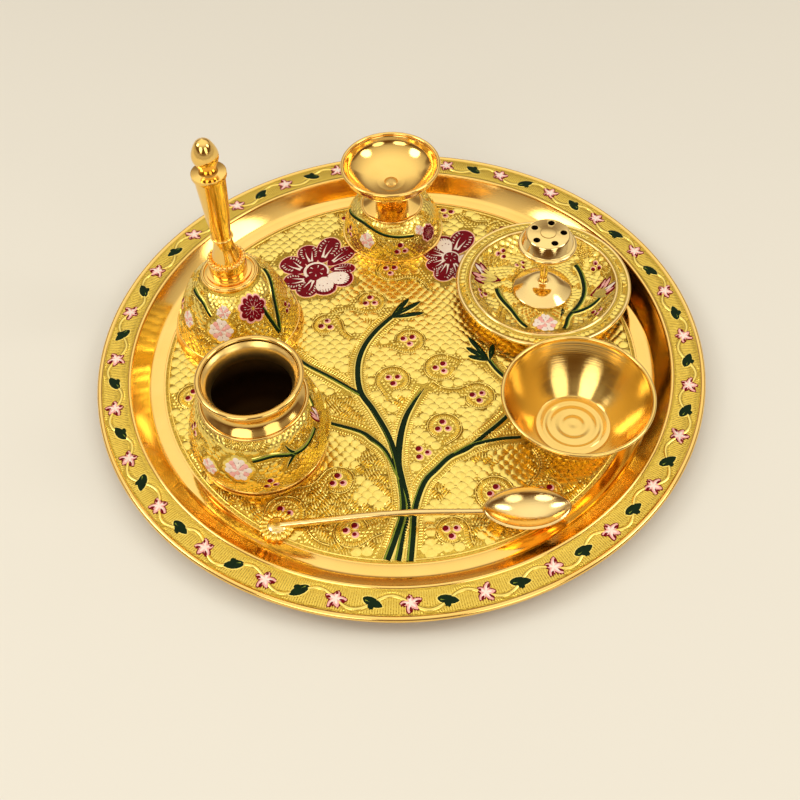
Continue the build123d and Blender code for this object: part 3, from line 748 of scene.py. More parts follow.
def rim_leaf(x, turn):
    """Dark almond leaf with a side lobe, a bright border and a pale vein."""
    along = polar(radians(turn))
    across = Vector((-along.y, along.x))

    def spot(on, aside=0.0):
        return Vector((x, 0)) + along * on + across * aside

    rim.blade(raised, spot(-4.9), spot(4.9), 5.2, 0.3, 0.45, 0.25)
    rim.blade(green, spot(-4.4), spot(4.4), 4.1, 0.5, 0.45, 0.25)
    rim.blade(green, spot(-1.5), spot(1.2, 2.8), 2.6, 0.48, 0.55, 0.2)
    rim.stroke(vein_and_highlight_green, spot(-3.0, 0.5), spot(3.2, 0.4), 0.75, 0.62, (1.0, 0.4))


rim_chance = random.Random(7)
for pair in range(rim_pairs):
    x = pair * pair_step
    rim_flower(x, rim_chance.uniform(-70, 70))
    rim_leaf(x + pair_step / 2, rim_chance.choice((20, 155)) + rim_chance.uniform(-18, 18))
vine_places = [i * pair_step / 12 for i in range(12 * rim_pairs + 1)]
rim.line(raised, [(x, vine_sway(x)) for x in vine_places], 1.5, 0.34)
for i in range(hatch_count):
    x = i * rim_round / hatch_count
    for edge, side in ((4.9, 1), (-5.6, -1)):
        length = (edge - vine_sway(x)) * side - 1.1
        if length > 0.8:
            rim.mark(rim_raised, tick, (x, edge - side * length / 2), 0, (0.62, length, 0.24))
rim.lay("rim", "tray")

# Floor: enamel plant with two large flowers and drops in threes, on chased scrolls and scales

plant = Drawing(tray_floor)
# Points, width and taper of each stem: left, centre, right, then the four side stems
stems = (
    ([(-9, -108.5), (-5, -97), (-1.5, -84), (-2.5, -67), (-6, -48), (-13, -31), (-19, -19), (-20, -4),
      (-17, 8), (-11, 18), (-3, 27)], 2.9, (1.25, 1.1, 0.9)),
    ([(-4.5, -109), (-2, -97), (1, -84), (-1, -70), (-2.5, -60), (-1.5, -47), (1.5, -35), (6, -26),
      (10.5, -19)], 2.9, (1.2, 0.7, 0.9, 1.25, 0.9, 0.1)),
    ([(0.5, -109.5), (2, -97), (3.5, -84), (8, -71), (14, -64), (20, -58), (28, -54), (35, -48), (43, -41),
      (48, -36)], 2.9, (1.25, 1.0, 0.75)),
    ([(-19, -21), (-33, -10), (-44, -2), (-52, 6)], 2.4, (1.0, 0.8)),
    ([(-2, -69), (-8, -54), (-14, -47), (-20, -42), (-35, -36)], 2.6, (0.7, 1.1, 0.7)),
    ([(22, -57), (31, -52), (43, -49.5), (52, -49)], 2.4, (1.0, 0.8)),
    ([(42, -4), (44.5, -9), (48, -14), (54, -20)], 2.4, (1.0, 0.9)),
)
stem_ways = []
for points, width, taper in stems:
    plant.line(raised, points, width + 0.9, 0.3, taper)
    stem_ways.append(plant.line(green, points, width, 0.62, taper))
    # A paler green line along one side of the stem: a painted highlight.
    highlight_strip = beside(stem_ways[-1], 4.0, width * 0.3)
    plant.line(vein_and_highlight_green, highlight_strip, width * 0.34, 0.72, (1.2, 0.8, 0.4), 4)
for base, tips in (
    ((-4, 26), ((5.5, 38.5), (11, 36), (12.5, 28.5), (3, 34))),
    ((42, -4), ((33, 11.5), (31.5, 5), (32, -0.5), (44.5, 6.5))),
):
    for tip in tips:
        inner = {share: Vector(base).lerp(Vector(tip), share) for share in (0.2, 0.4, 0.5, 0.8, 0.85)}
        plant.blade(raised, base, tip, 4.0, 0.45, 0.6, 0.15)
        plant.blade(green, base, tip, 2.9, 0.7, 0.6, 0.15)
        plant.stroke(vein_and_highlight_green, inner[0.4], inner[0.85], 0.8, 0.82, (1.0, 0.6))
        plant.spots += [(*inner[share], 2.2) for share in (0.2, 0.5, 0.8)]


def petal(art, base, tip, width, fill=None):
    """A large maroon petal with a pink border, filled with a colour or marked by white strokes."""
    way = Vector(tip) - Vector(base)
    across = Vector((-way.y, way.x)).normalized() * width

    def spot(along, side):
        return Vector(base) + way * along + across * side

    layers = ((raised, -0.03, 1.05, 1.6, 0.3), (pink, -0.02, 1.03, 0.9, 0.42), (maroon, 0, 1, 0, 0.56))
    for finish, start, end, border, lift in layers:
        art.blade(finish, spot(start, 0), spot(end, 0), width + border, lift, belly=0.6, sides=20)
    for along, room in ((0.25, 0.4), (0.6, 0.58), (0.85, 0.5)):
        art.spots.append((*spot(along, 0), width * room))
    if fill:
        art.blade(fill, spot(0.02, 0), spot(0.94, 0), width * 0.9, 0.66, belly=0.6, sides=20)
        for i in range(7):
            side = (i - 3) * 0.12
            art.stroke(maroon, spot(0.74, side), spot(0.88, side * 1.05), width * 0.05, 0.78, (1.0, 1.0))
        for along, side in ((0.5, 0.14), (0.56, -0.06), (0.5, -0.2)):
            art.dot(maroon, spot(along, side), 0.4, 0.78)
        return
    for points, share in (
        (((0.2, 0.02), (0.5, 0.12), (0.84, 0.12)), 0.2),
        (((0.2, -0.06), (0.5, -0.14), (0.78, -0.2)), 0.16),
    ):
        art.line(white, [spot(*p) for p in points], width * share, 0.74, (1.0, 0.7), 4)
    for side in (-1, 1):
        for i in range(5):
            along = 0.4 + 0.1 * i
            edge = 0.4 - 0.35 * abs(along - 0.6)
            start, end = spot(along, side * (edge - 0.1)), spot(along + 0.03, side * edge)
            art.stroke(white, start, end, width * 0.08, 0.72, (1.0, 1.0))


def large_flower(art, heart, heart_r, petals):
    """Petals round a heart that has a white ring. Petals are (base, tip, width), with their fill if any."""
    spot = art.motif(heart, heart_r)
    for row in petals:
        petal(art, *row)
    art.dot(maroon, heart, heart_r, 0.66, sides=24)
    art.line(white, [spot(0.9, 20 * i - 20) for i in range(13)], heart_r * 0.32, 0.85, (0.7, 1.0), 4)
    for bearing in (20, 75, 140, 200, 265, 320):
        art.stroke(white, spot(0.1, bearing), spot(0.6, bearing), heart_r * 0.2, 0.85, (0.6, 1.0))
    art.spots.append((*heart, heart_r + 1.0))


large_flower(
    plant, (-40.5, 60), 6.5,
    (
        ((-44, 54), (-57, 53), 11), ((-46, 60), (-58, 69), 12), ((-43, 64), (-46, 79), 11),
        ((-38.5, 66), (-32, 84), 11.5), ((-35, 64), (-22, 76), 9), ((-34, 61), (-21, 61.5), 7),
        ((-41, 56), (-47.5, 43), 11), ((-38, 57), (-35, 43.5), 11.5, white),
        ((-35, 57), (-22.5, 52.5), 11, white),
    ),
)
large_flower(
    plant, (28, 66), 4.6,
    (
        ((31, 66), (40, 62), 9, white), ((29, 64), (33, 51), 9), ((27, 64), (22, 50), 10),
        ((26, 65), (16, 59), 9.5), ((26, 67), (15, 71), 9.5), ((27, 68), (24, 82), 10, white),
        ((29, 68), (38, 85), 12),
    ),
)


def drops(art, centre, radius, turn=90):
    """Three drops of maroon, each with a pale half."""
    spot = art.motif(centre, radius, turn)
    for i, share in enumerate((1.0, 0.92, 0.76)):
        x, y = spot(1.75, 120 * i)
        art.dot(raised, (x, y), radius * 1.5, 0.36)
        art.dot(pink, (x, y), radius * 1.18, 0.5)
        art.dot(maroon, (x - radius * 0.22, y + radius * 0.12), radius * share, 0.66)
        art.spots.append((x, y, radius + 0.7))


trios = (
    ((-13.5, 37.5), 90), ((-35, 23), 200), ((4.5, 11), 40), ((-3.5, -13), 270), ((19, -7), 60),
    ((35, -25), 160), ((-3, 59), 30), ((18, -41.5), 90), ((8, -55.5), 120), ((38.5, -77.5), 80),
    ((18.5, -96), 150), ((-29, -68.5), 90), ((-23, -93.7), 60), ((-58, -8), 20), ((-70, 62), 90),
    ((8, 80), 0), ((55, 84), 60), ((-52, -84), 120), ((60, -78), 40), ((-96, -18), 90), ((96, -2), 30),
    ((-24, 100), 90), ((28, 100), 10),
)
for centre, turn in trios:
    drops(plant, centre, 1.45, turn)

for way in stem_ways:
    plant.spots += [(x, y, 4.4) for x, y in way[::3]]
    ladder(plant, way[4:], 2.3, 2.0, pitch=1.3)
    for side in (-1, 1):
        plant.line(raised, beside(way[4:], 5.0, side * 4.5), 0.6, 0.36, steps=4)
plant.line(raised, arc((0, 0), 108.7, 0, 360, 90), 1.0, 0.4, steps=3)


def on_floor(x, y):
    return hypot(x, y) < chased_r - 3.4


def hatched_floor(x, y):
    """Hatching lies near the front, mostly on the left, and in a few patches elsewhere."""
    return noise.noise((x * 0.06, y * 0.06, 5)) > 0.32 + 0.005 * y + (0.0 if x < 0 else 0.3)


scroll_chance = random.Random(12)
for centre, _ in trios:
    radius = scroll_chance.uniform(7.6, 9.6)
    scroll(plant, centre, radius, scroll_chance.uniform(0, tau), scroll_chance.choice((-1, 1)), on_floor)
scales(
    plant, (-chased_r, -chased_r), (chased_r, chased_r), pitch=4.8, inside=on_floor, seed=21, lift=0.9,
    hatched=hatched_floor,
)
plant.lay("floor", "tray")

# Motifs on the vessels


def carnation(art, centre, size):
    """A pale ruffled flower with fine maroon strokes."""
    spot = art.motif(centre, size)
    for i in range(11):
        a, reach, pale = 33 * i, (1.0, 0.86, 0.94)[i % 3], (white, pink, white)[i % 3]
        art.blade(raised, spot(0.1, a), spot(reach + 0.14, a), 0.66 * size, 0.4, belly=0.7)
        art.blade(pale, spot(0.1, a), spot(reach, a), 0.5 * size, 0.52, belly=0.7)
        art.stroke(maroon, spot(0.5, a + 16), spot(0.88, a + 13), size * 0.07, 0.58)
        art.stroke(pink, spot(0.55, a), spot(0.8, a), size * 0.09, 0.62)
    for i in range(6):
        a, pale = 60 * i, (pink, white)[i % 2]
        art.blade(pale, spot(-0.1, a + 25), spot(0.5, a + 25), 0.3 * size, 0.66, belly=0.6)
        art.stroke(maroon, spot(0.12, a + 55), spot(0.4, a + 50), size * 0.06, 0.7, (1.0, 0.6))
    art.spots.append((*centre, size * 1.2))


def rose(art, centre, size):
    """A maroon flower with a pink border and white strokes."""
    spot = art.motif(centre, size)
    bearings = range(0, 360, 40)
    layers = ((raised, 1.2, 0.84, 0.36), (pink, 1.1, 0.74, 0.48), (maroon, 1.0, 0.62, 0.58))
    for finish, reach, width, lift in layers:
        for a in bearings:
            art.blade(finish, spot(0.1, a), spot(reach, a), width * size, lift, belly=0.62)
    for a in bearings:
        art.stroke(white, spot(0.5, a - 8), spot(0.95, a - 5), size * 0.08, 0.68, (1.0, 0.6))
        art.stroke(white, spot(0.5, a + 8), spot(0.9, a + 7), size * 0.08, 0.68, (1.0, 0.6))
        art.stroke(pink, spot(0.12, a), spot(0.42, a + 12), size * 0.08, 0.7, (0.7, 1.0))
    art.spots.append((*centre, size * 1.25))


def tulip(art, centre, size, turn=90):
    """A bud of long pointed petals opening one way, pale with maroon borders and strokes."""
    spot = art.motif(centre, size, turn - 90)
    petals = ((60, 1.05, pink), (120, 1.05, pink), (76, 1.25, white), (104, 1.2, pink))
    for finish, past, width, lift in ((raised, 0.14, 0.56, 0.3), (maroon, 0.06, 0.44, 0.5)):
        for a, reach, _ in petals:
            art.blade(finish, spot(0.7, 270), spot(reach + past, a), width * size, lift, 0.55, 0.2)
    for a, reach, pale in petals:
        art.blade(pale, spot(0.45, 270), spot(reach - 0.06, a), 0.27 * size, 0.66, 0.6, 0.2)
        art.line(maroon, [spot(0.25, a), spot(reach - 0.2, a)], 0.09 * size, 0.8, (1.0, 0.5), 3)
    for reach in (-0.3, 0.2, 0.7, 1.1):
        art.spots.append((*spot(reach, 90), size * (0.4 + 0.18 * reach)))


def twig(art, points, width, taper=(1.0, 0.7)):
    """A dark stem with a bright border, and a paler green line along one side that is a painted highlight.
    """
    art.line(raised, points, width + 0.9, 0.4, taper)
    way = art.line(green, points, width, 0.66, taper)
    # Painted highlight: a paler green line along one side of the stem.
    art.line(vein_and_highlight_green, beside(way, 2.5, width * 0.25), width * 0.28, 0.74, taper, 3)
    art.spots += [(x, y, width / 2 + 0.7) for x, y in way[::2]]


def leaflet(art, ends, width):
    """A small dark leaf."""
    art.blade(green, *ends, width, 0.4, point=0.25)


def adorn(art, motifs):
    """Draws motifs on a vessel's side, each at its place there, or along a list of places."""
    spot = art.surface.spot
    for motif, where, *rest in motifs:
        motif(art, [spot(*p) for p in where] if isinstance(where, list) else spot(*where), *rest)


def chase_round(art, pitch, seed):
    """Fills a turned surface with scales and patches of hatching, all round."""
    half = pi * art.surface.mid_r
    top = art.surface.reaches[-1] - 0.6

    def hatched(x, y):
        return noise.noise((x * 0.11, y * 0.11, seed)) > 0.12

    scales(art, (-half, 0.8), (half, top), pitch, lambda x, y: True, seed, 0.2 * pitch, hatched)


# Bell

bell_lathe = lathe("bell_cup", "bell")
bell_lip, bell_shoulder = (31.0, 1.4), (13.2, 35.4)
bell_inner_lip, bell_crown = (29.0, 0.0), (11.2, 33.4)
bell_shares = ((0.12, 0.16), (0.39, 0.54), (0.67, 0.84))
bell_band, bell_field = parted(bowed(bell_lip, bell_shoulder, bell_shares, 12), 6.0)
bell = spun(
    "bell", bell_lathe,
    [
        [(31.0, 0), bell_lip],
        bell_band,
        (chased, bell_field),
        [bell_shoulder, (13.2, 36.8), (10.4, 36.8), (10.4, 38.2), (2.55, 38.2), (2.55, 33.4), bell_crown],
        bowed(bell_inner_lip, bell_crown, bell_shares, 12)[::-1],
        [bell_inner_lip, (31.0, 0)],
    ],
    "chased_brass",
)
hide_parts("bell_cup")

collar_top = 45.8
grip = smooth([(6.8, collar_top), (4.3, 56.8), (5.55, 73.0), (6.8, 92.8)], 14)
bud = smooth([(4.0, 97.8), (5.8, 103.4), (3.4, 109.6), (0, 111.8)])
handle = spun(
    "bell_turned_handle", bell_lathe,
    [
        [(0, 47.7), (2.55, 47.7), (2.55, 38.2), (8.7, 38.2), (8.7, collar_top), (6.8, collar_top)],
        grip,
        [grip[-1], (7.6, 92.8), (7.6, 94.8), (4.0, 94.8), (4.0, 97.8)],
        [*bud, (0, 47.7)],
    ],
    steps=96, soft=0.25,
)
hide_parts("bell_handle")

bm = bmesh.new()
for spot in places_round(bell_lathe, 24, 7.9, collar_top):
    bmesh.ops.create_uvsphere(bm, u_segments=12, v_segments=8, radius=0.95, matrix=spot)
to_metres(bm)
piece("bell_pearls", bm, [bell_lathe.polish], "bell", "polished_brass")
ring("bell_neck_ring", bell_lathe, 4.55, 58.6, 0.55)
ring("bell_band_ring", bell_lathe, bell_band[-1][0] + 0.1, bell_band[-1][1], 0.45)
ring("bell_step_ring", bell_lathe, 12.2, 36.9, 0.6)

bell_art = Drawing(Skin(bell_lathe.place, bell_field))
adorn(bell_art, (
    (carnation, (-11, 21.5), 6.4),
    (carnation, (-7, 29.5), 3.6),
    (carnation, (-58, 20), 4.6),
    (rose, (33, 29), 6.8),
    (twig, [(-69, 32), (-41, 31), (-24, 27)], 2.5),
    (twig, [(104, 33.5), (70, 27.5), (51, 12.5)], 3.2),
    (twig, [(45, 27), (48, 20), (51, 12.5)], 2.8),
    (drops, (78, 17), 1.1),
    (drops, (-84, 20), 1.1),
))
for a in (140, 220):
    adorn(bell_art, ((carnation, (a, 19), 5.6), (twig, [(a + 8, 24), (a + 20, 27), (a + 34, 20)], 2.2)))
chase_round(bell_art, pitch=3.4, seed=3)
bell_art.lay("bell", "bell")

# Lota

lota_lathe = lathe("lota", "lota", light=(0.84, 0.58, 0.19), warm=(0.78, 0.48, 0.11))
lota_body = smooth(
    [(27.5, 8.6), (30.0, 19.0), (25.6, 34.5), (22.2, 38.8), (18.4, 43.4), (19.3, 48.6), (21.9, 51.7)], 12
)
lota_belly, lota_neck = parted(lota_body, 38.6)
lota_lip = arc((21.1, 51.7), 1.3, -30, 200, 16)
lota_inside = smooth(
    [lota_lip[-1], (17.8, 48.6), (16.9, 43.4), (20.7, 38.8), (24.1, 34.5), (28.5, 19.0), (26.0, 8.6),
     (21.5, 2.2)], 10
)
lota = spun(
    "lota_pot", lota_lathe,
    [
        [(0, 0), (23.0, 0)],
        smooth([(23.0, 0), (26.0, 2.2), (27.5, 5.6)], 6),
        [(27.5, 5.6), (28.2, 5.6), (28.2, 7.1), (27.5, 7.1), (27.5, 8.6)],
        (chased, lota_belly),
        [*lota_neck[:-1], *lota_lip],
        # Painted shade darkens the inside of the pot below its neck.
        (pot_inside_painted_shade("lota inside", low=20, high=42), [*lota_inside, (0, 2.2)]),
    ],
    "chased_brass",
)
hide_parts("lota")
ring("lota_collar_ring", lota_lathe, 22.2, 38.8, 0.9)
ring("lota_base_ring", lota_lathe, 28.0, 9.2, 0.5)

lota_art = Drawing(Skin(lota_lathe.place, lota_belly))
adorn(lota_art, (
    (carnation, (-13, 26.5), 6.4),
    (carnation, (-40, 23), 4.4),
    (twig, [(0, 31), (18, 31.5), (36, 28.5), (50, 28), (66, 30.5)], 2.7, (0.8, 0.9)),
    (twig, [(37, 28.5), (34, 31), (31, 34)], 2.2, (1.0, 0.2)),
    (twig, [(37, 28.5), (31, 26), (27, 23.5)], 2.2, (1.0, 0.2)),
    (tulip, (75, 32), 4.4),
    (twig, [(80, 36.5), (88, 38), (94, 39.5)], 1.6),
    (drops, (-68, 32), 1.2),
    (drops, (12, 18), 1.2),
))
for a in (130, 215):
    adorn(lota_art, ((carnation, (a, 25), 5.2), (twig, [(a + 12, 28), (a + 28, 30), (a + 44, 25)], 2.2)))
chase_round(lota_art, pitch=3.4, seed=4)
lota_art.lay("lota", "lota")

# Oil lamp

lamp_lathe = lathe("lamp_foot", "lamp")
lamp_shares = ((0.15, 0.42), (0.45, 0.78))
lamp_dome = bowed((25.2, 2.2), (15.5, 19.0), lamp_shares)
lamp_cap = smooth([(15.0, 19.0), (8.74, 22.42), (4.6, 23.0)])
lamp_hollow_cap = smooth([(4.7, 21.4), (8.2, 20.82), (13.9, 17.4)])
lamp_foot = spun(
    "lamp_domed_foot", lamp_lathe,
    [
        [(23.6, 0), (26.0, 0), (26.0, 2.2), (25.2, 2.2)],
        (chased, lamp_dome),
        [(15.5, 19.0), *lamp_cap, (2.05, 23.0), (2.05, 21.4)],
        [(2.05, 21.4), *lamp_hollow_cap],
        [*bowed((23.6, 2.2), (13.9, 17.4), lamp_shares)[::-1], (23.6, 0)],
    ],
    "chased_brass",
)
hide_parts("lamp_foot")
ring("lamp_cap_ring", lamp_lathe, 15.5, 19.0, 0.6)

knop = arc((2.3, 27.0), 1.1, -90, 90, 10)
lamp_stem = spun(
    "lamp_turned_stem", lamp_lathe,
    [
        [(0, 17.9), (2.0, 17.9), (2.0, 23.0), (4.6, 23.0), (2.3, 24.3), *knop, (2.3, 28.4), (6.4, 29.7),
         (6.4, 31.0), (1.55, 31.0), (1.55, 25.5), (0, 25.5)],
    ],
    steps=64, soft=0.2,
)
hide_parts("lamp_stem")

cup_shares = ((0.5, 0.17), (0.86, 0.58))
cup_outer = bowed((6.4, 31.0), (24.5, 43.5), cup_shares)
cup_bead = arc((23.75, 43.5), 1.0, -30, 210, 14)
cup_inner = bowed((6.4, 32.8), (23.0, 43.5), cup_shares)[::-1]
lamp_cup = spun(
    "lamp_oil_cup", lamp_lathe,
    [
        [(1.55, 32.8), (1.55, 31.0), (6.4, 31.0)],
        [*cup_outer[:-1], *cup_bead, *cup_inner[1:], (1.55, 32.8)],
    ],
)
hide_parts("lamp_cup")

lamp_art = Drawing(Skin(lamp_lathe.place, lamp_dome))
adorn(lamp_art, (
    (carnation, (-35, 11.5), 4.6),
    (rose, (50, 11), 4.4),
    (carnation, (38, 15), 2.8),
    (twig, [(-92, 14.5), (-50, 17), (-8, 15.5), (28, 13.5)], 2.1),
    (drops, (9, 8.5), 1.3),
    (drops, (-67, 9), 1.1),
    (carnation, (130, 10), 4.2),
    (carnation, (210, 10), 4.2),
))
chase_round(lamp_art, pitch=3.0, seed=5)
lamp_art.lay("lamp", "lamp")

# Incense stand

incense_lathe = lathe("incense_saucer", "incense_stand", light=(0.93, 0.72, 0.33), warm=(0.89, 0.62, 0.2))
saucer_bead = arc((35.6, 9.8), 0.8, 150, 30, 8)
saucer_edge = arc((41.45, 9.45), 0.95, 128, -128, 14)
saucer_field = [(35.0, 9.72), *eased((36.3, 10.2), (28.6, 4.6), (0, 4.6), 6.0), (14.3, 4.6)]
saucer = spun(
    "saucer_dish", incense_lathe,
    [
        [(1.45, 3.1), (1.45, 4.6), (14.3, 4.6)],
        (chased, saucer_field[::-1]),
        [saucer_field[0], *saucer_bead],
        (rim_ground, [saucer_bead[-1], saucer_edge[0]]),
        saucer_edge,
        [saucer_edge[-1], (36.1, 8.7), (29.3, 3.25), (28.2, 3.1), (24.0, 3.1), (24.0, 0), (22.0, 0),
         (22.0, 3.1), (1.45, 3.1)],
    ],
    "chased_brass", steps=160,
)
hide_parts("incense_saucer")

pedestal_dome = smooth([(14.3, 5.4), (7.76, 8.93), (3.4, 9.6)], 10)
pedestal_flare = eased((3.4, 9.6), (1.9, 9.75), (1.8, 12.2), 1.3)
pedestal = spun(
    "saucer_pedestal", incense_lathe,
    [
        [(0, 10.1), (1.45, 10.1), (1.45, 4.6), (14.3, 4.6), *pedestal_dome, *pedestal_flare, (1.8, 33.0),
         (1.3, 33.0), (1.3, 37.0), (0, 37.0)],
    ],
)
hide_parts("incense_pedestal")

head_top = 41.0
head_edge = [*arc((12.7, 34.1), 1.1, -90, 0, 6), *arc((12.7, 34.5), 1.1, 0, 90, 6)]
head = spun(
    "saucer_stick_head", incense_lathe,
    [
        [(0, 37.5), (1.35, 37.5), (1.35, 33.0), (12.7, 33.0), *head_edge, (12.0, 35.6), (10.5, 40.3),
         (9.8, head_top), (3.6, head_top), (3.6, 41.6), (0, 41.6)],
    ],
    soft=0.2,
)
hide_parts("incense_head")


def stick_holes(solid, count, ring_r, hole_r, depth):
    """Bores a ring of blind holes for the sticks, whose walls take a dark painted shade."""
    bm = bmesh.new()
    for spot in places_round(incense_lathe, count, ring_r, head_top):
        bmesh.ops.create_cone(
            bm, cap_ends=True, segments=32, radius1=hole_r, radius2=hole_r, depth=2 * depth, matrix=spot
        )
    to_metres(bm)
    cutter = put("cutter", mesh_of(bm, "cutter"))
    # The hole walls take this dark painted shade from the cutter.
    cutter.data.materials.append(painted_hole_shade)
    cut = solid.modifiers.new("holes", "BOOLEAN")
    cut.object = cutter
    cut.solver = "EXACT"
    cut.material_mode = "TRANSFER"
    bpy.context.view_layer.update()
    drilled = bpy.data.meshes.new_from_object(solid.evaluated_get(bpy.context.evaluated_depsgraph_get()))
    solid.modifiers.remove(cut)
    solid.data = drilled
    solid.data.set_sharp_from_angle(angle=radians(35))
    bpy.data.objects.remove(cutter)


stick_holes(head, count=5, ring_r=7.2, hole_r=1.65, depth=5.5)

well = Drawing(Skin(incense_lathe.place, saucer_field, by_radius=True))
well_trios = ((-143, 30), (-84, 30), (113, 30.5), (52, 30.5), (-152, 18.5), (170, 26))
adorn(well, (
    (tulip, (-108, 26.5), 8.6, 270),
    (twig, [(-92, 22), (-52, 21), (-22, 27)], 2.9),
    (twig, [(129, 23.5), (93, 20.5), (35, 21), (15, 28)], 3.1),
    (twig, [(36, 21.3), (62, 26), (76, 29)], 2.4),
    (tulip, (80, 28), 7.8, 300),
    (carnation, (-3, 23), 6.4),
    (leaflet, [(18, 21), (32, 16)], 2.0),
    *((drops, where, 1.1) for where in well_trios),
    (carnation, (-175, 23), 3.4),
))
chase_round(well, pitch=3.0, seed=6)
well.lay("saucer_well", "incense_stand")

saucer_rim = Drawing(Skin(incense_lathe.place, [(40.6, 10.2), (36.5, 10.2)]))
chase_round(saucer_rim, pitch=2.4, seed=8)
saucer_rim.lay("saucer_rim", "incense_stand")

# Katori

katori_look = {"light": (0.88, 0.63, 0.21), "warm": (0.76, 0.49, 0.12), "streak": 0.6, "dull": 0.06}
katori_lathe = lathe("katori", "katori", **katori_look)
katori_shares = ((0.4, 0.32), (0.74, 0.66))
katori_lip = arc((32.3, 24.1), 0.9, 0, 200)
katori_inner = bowed((16.3, 2.4), (32.0, 24.1), katori_shares)[::-1]
katori_floor = smooth(
    [(16.3, 2.4), (14.6, 2.5), (12.8, 3.05), (11.0, 2.5), (8.4, 2.95), (5.8, 2.45), (3.2, 2.9), (0, 2.6)], 6
)
katori = spun(
    "katori_bowl", katori_lathe,
    [
        [(0, 0), (17.5, 0), (17.5, 1.5)],
        [*bowed((17.5, 1.5), (33.2, 24.1), katori_shares)[:-1], *katori_lip],
        [katori_lip[-1], *katori_inner[1:]],
        katori_floor,
    ],
    steps=160,
)
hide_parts("katori")

# Spoon

spoon_low, spoon_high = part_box("spoon")
spoon_y = (spoon_low[1] + spoon_high[1]) / 2 / MM
bowl_half_l, bowl_half_w, bowl_depth, bowl_wall = 18.5, 10.6, 7.2, 1.0
rest_play, spoon_reach = 0.3, 104.5
bowl_x = spoon_high[0] / MM - bowl_half_l
bowl_rim_z = floor_z + rest_play + bowl_depth
spin_r = (bowl_half_w**2 + bowl_depth**2) / (2 * bowl_depth)
spin_rise = spin_r - bowl_depth
arch_r = (bowl_half_l**2 + bowl_depth**2) / (2 * bowl_depth)
arch_half = degrees(atan2(bowl_half_l, arch_r - bowl_depth))
keel = arc((0, arch_r - spin_r), arch_r, -90 - arch_half, -90 + arch_half, 48)

bm = bmesh.new()
verts = [bm.verts.new((x, 0, z)) for x, z in keel]
edges = [bm.edges.new(pair) for pair in zip(verts, verts[1:])]
bmesh.ops.rotate(bm, cent=(0, 0, 0), matrix=Matrix.Rotation(pi / 2, 3, "X"), verts=verts)
bmesh.ops.spin(bm, geom=verts + edges, axis=(1, 0, 0), angle=-pi, steps=64)
geom = bm.verts[:] + bm.edges[:] + bm.faces[:]
bmesh.ops.bisect_plane(bm, geom=geom, plane_co=(0, 0, -spin_rise), plane_no=(0, 0, 1), clear_outer=True)
bmesh.ops.recalc_face_normals(bm, faces=bm.faces)
if sum(f.normal.z * f.calc_area() for f in bm.faces) > 0:
    bmesh.ops.reverse_faces(bm, faces=bm.faces)
bmesh.ops.solidify(bm, geom=bm.faces[:], thickness=bowl_wall)
rim_edges = [e for e in bm.edges if e.is_manifold and e.calc_face_angle() > radians(35)]
bmesh.ops.bevel(bm, geom=rim_edges, affect="EDGES", offset=0.3, segments=3, profile=0.5, clamp_overlap=True)
stand = Matrix.Translation((bowl_x, spoon_y, bowl_rim_z + spin_rise))
bmesh.ops.transform(bm, matrix=Matrix.Scale(MM, 4) @ stand, verts=bm.verts)
bowl = piece("spoon_bowl", bm, [spoon_brush], "spoon", "brushed_brass")

disc_x = bowl_x - spoon_reach
rod_start, rod_end = disc_x + 1.75, bowl_x - bowl_half_l + 0.8
rod_mid = disc_x + 6.4 + (rod_end - disc_x - 7.4) * 0.55
rod_knots = ((rod_start, floor_z + 1.8), (rod_mid, bowl_rim_z - 0.6), (rod_end, bowl_rim_z - 1.8))
rod_way = smooth([(x, spoon_y, z) for x, z in rod_knots], 16)
bm = bmesh.new()
bm.from_mesh(tube(rod_way, [1.75 - 0.45 * i / (len(rod_way) - 1) for i in range(len(rod_way))], sides=6))
to_metres(bm)
piece("spoon_rod", bm, [spoon_brush], "spoon", "brushed_brass")

disc_outline = [(0, 0), (6.3, 0), (6.9, 0.7), (6.3, 1.5), (4.2, 1.8), (3.7, 2.3), (2.0, 2.7), (0, 2.85)]
disc_lathe = Lathe((disc_x, spoon_y), "spoon", spoon_brush)
spun("spoon_disc", disc_lathe, [disc_outline], "brushed_brass", steps=72)


def disc_top(x, y, lift):
    return Vector((disc_x + x, spoon_y + y, floor_z + 1.5 + lift))


flower = Drawing(disc_top)
spot = flower.motif((0, 0))
for i in range(18):
    flower.blade(raised, spot(3.7, 20 * i), spot(7.5, 20 * i), 2.2, 0.75, belly=0.62, sides=10)
for i in range(-3, 4):
    off = i * 0.95
    size = (0.5, 2 * (3.3**2 - off**2) ** 0.5, 0.45)
    flower.mark(raised, tick, (off, 0), 0, size, 0.85)
    flower.mark(raised, tick, (0, off), pi / 2, size, 0.85)
flower.lay("spoon_flower", "spoon", "brushed_brass")
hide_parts("spoon")

# Hardware kept from the frame

clapper_parts = ("bell_clapper_eye", "bell_clapper_link", "bell_clapper")
for node in (*clapper_parts, "lamp_nut", "lamp_screw", "incense_screw"):
    for material_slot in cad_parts[node].material_slots:
        material_slot.material = hardware

# Table, light and camera

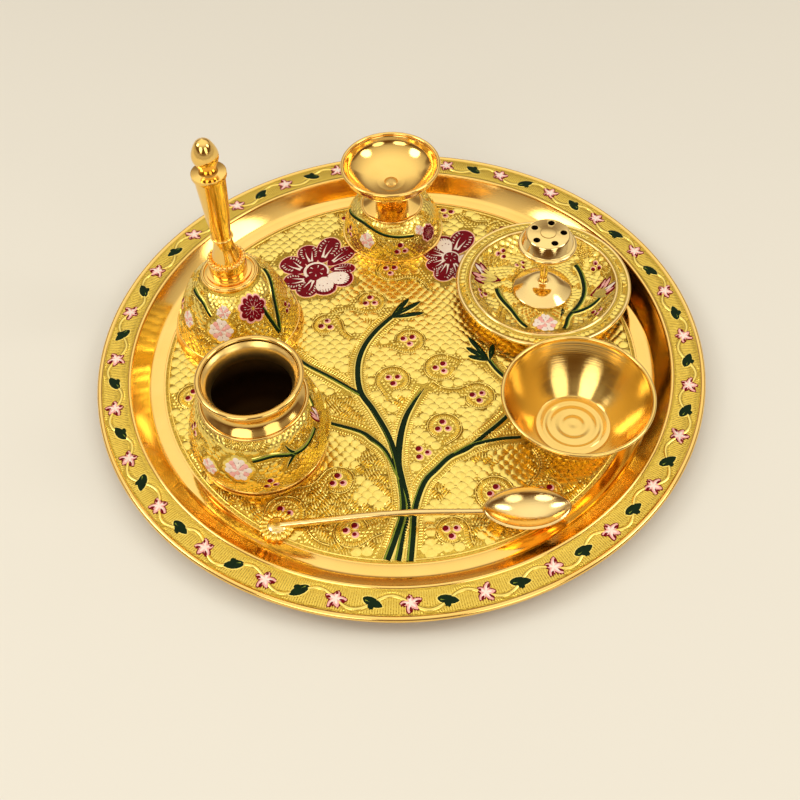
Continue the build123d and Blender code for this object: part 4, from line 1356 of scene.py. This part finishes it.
pale = material("pale table")
table_cloud = pale.noise(pale.place(), 0.01, 2.0)
pale.set(Base_Color=pale.mix(table_cloud, (0.72, 0.70, 0.62), (0.71, 0.69, 0.61)), Roughness=0.8)
bm = bmesh.new()
bmesh.ops.create_circle(bm, cap_ends=True, segments=96, radius=20.0)
table = put("table", mesh_of(bm, "table"))
table.data.materials.append(pale.owner)


def softbox(name, place, size, power, colour=(1.0, 0.97, 0.92)):
    """An oval area lamp that faces the tray's middle."""
    lamp = bpy.data.lights.new(name, "AREA")
    lamp.shape = "ELLIPSE"
    lamp.size, lamp.size_y = size
    lamp.energy = power
    lamp.color = colour
    holder = put(name, lamp)
    holder.location = place
    holder.rotation_euler = (-Vector(place)).to_track_quat("-Z", "Y").to_euler()


softbox("left window", (-0.76, -0.05, 0.70), (0.42, 0.42), 2.1)
softbox("right window", (0.76, -0.12, 0.68), (0.36, 0.5), 1.9, (1.0, 0.96, 0.9))
softbox("front left window", (-0.46, -0.85, 0.62), (0.62, 0.56), 2.3)
softbox("front right window", (0.52, -0.85, 0.58), (0.56, 0.6), 1.6)

studio = Finish(bpy.data.worlds.new("studio"), "Background")
scene.world = studio.owner
heading = studio.node("TexCoord", output="Generated")
parts = studio.node("SeparateXYZ", {0: heading})
height = studio.output_of(parts, 2)
glow = studio.ramp(height * 0.9 + studio.output_of(parts, 1) * 0.25, 0.05, 1.0)
shade = studio.ramp(studio.noise(heading, 1.7, 1.0), 0.46, 0.56)
low = studio.ramp(height, 0.75, 0.35)
wall = studio.ramp(height, 0.22, 0.08)
share = glow * (1.0 - shade * low * 0.7) + wall * 0.42
studio.set(Color=studio.mix(share, (0.13, 0.060, 0.018), (1.28, 1.21, 1.10)), Strength=1.0)

camera_data = bpy.data.cameras.new("camera")
camera_data.lens = 48
camera_data.sensor_width = 36
camera = put("camera", camera_data)
right = Vector((0.99917, -0.03188, -0.02524))
up = Vector((0.04066, 0.78335, 0.62028))
back = right.cross(up).normalized()
eye = Vector((-0.00089, -0.3282, 0.3844))
camera.matrix_world = Matrix((*zip(right, up, back, eye), (0, 0, 0, 1)))
scene.camera = camera

scene.view_settings.view_transform = "Standard"
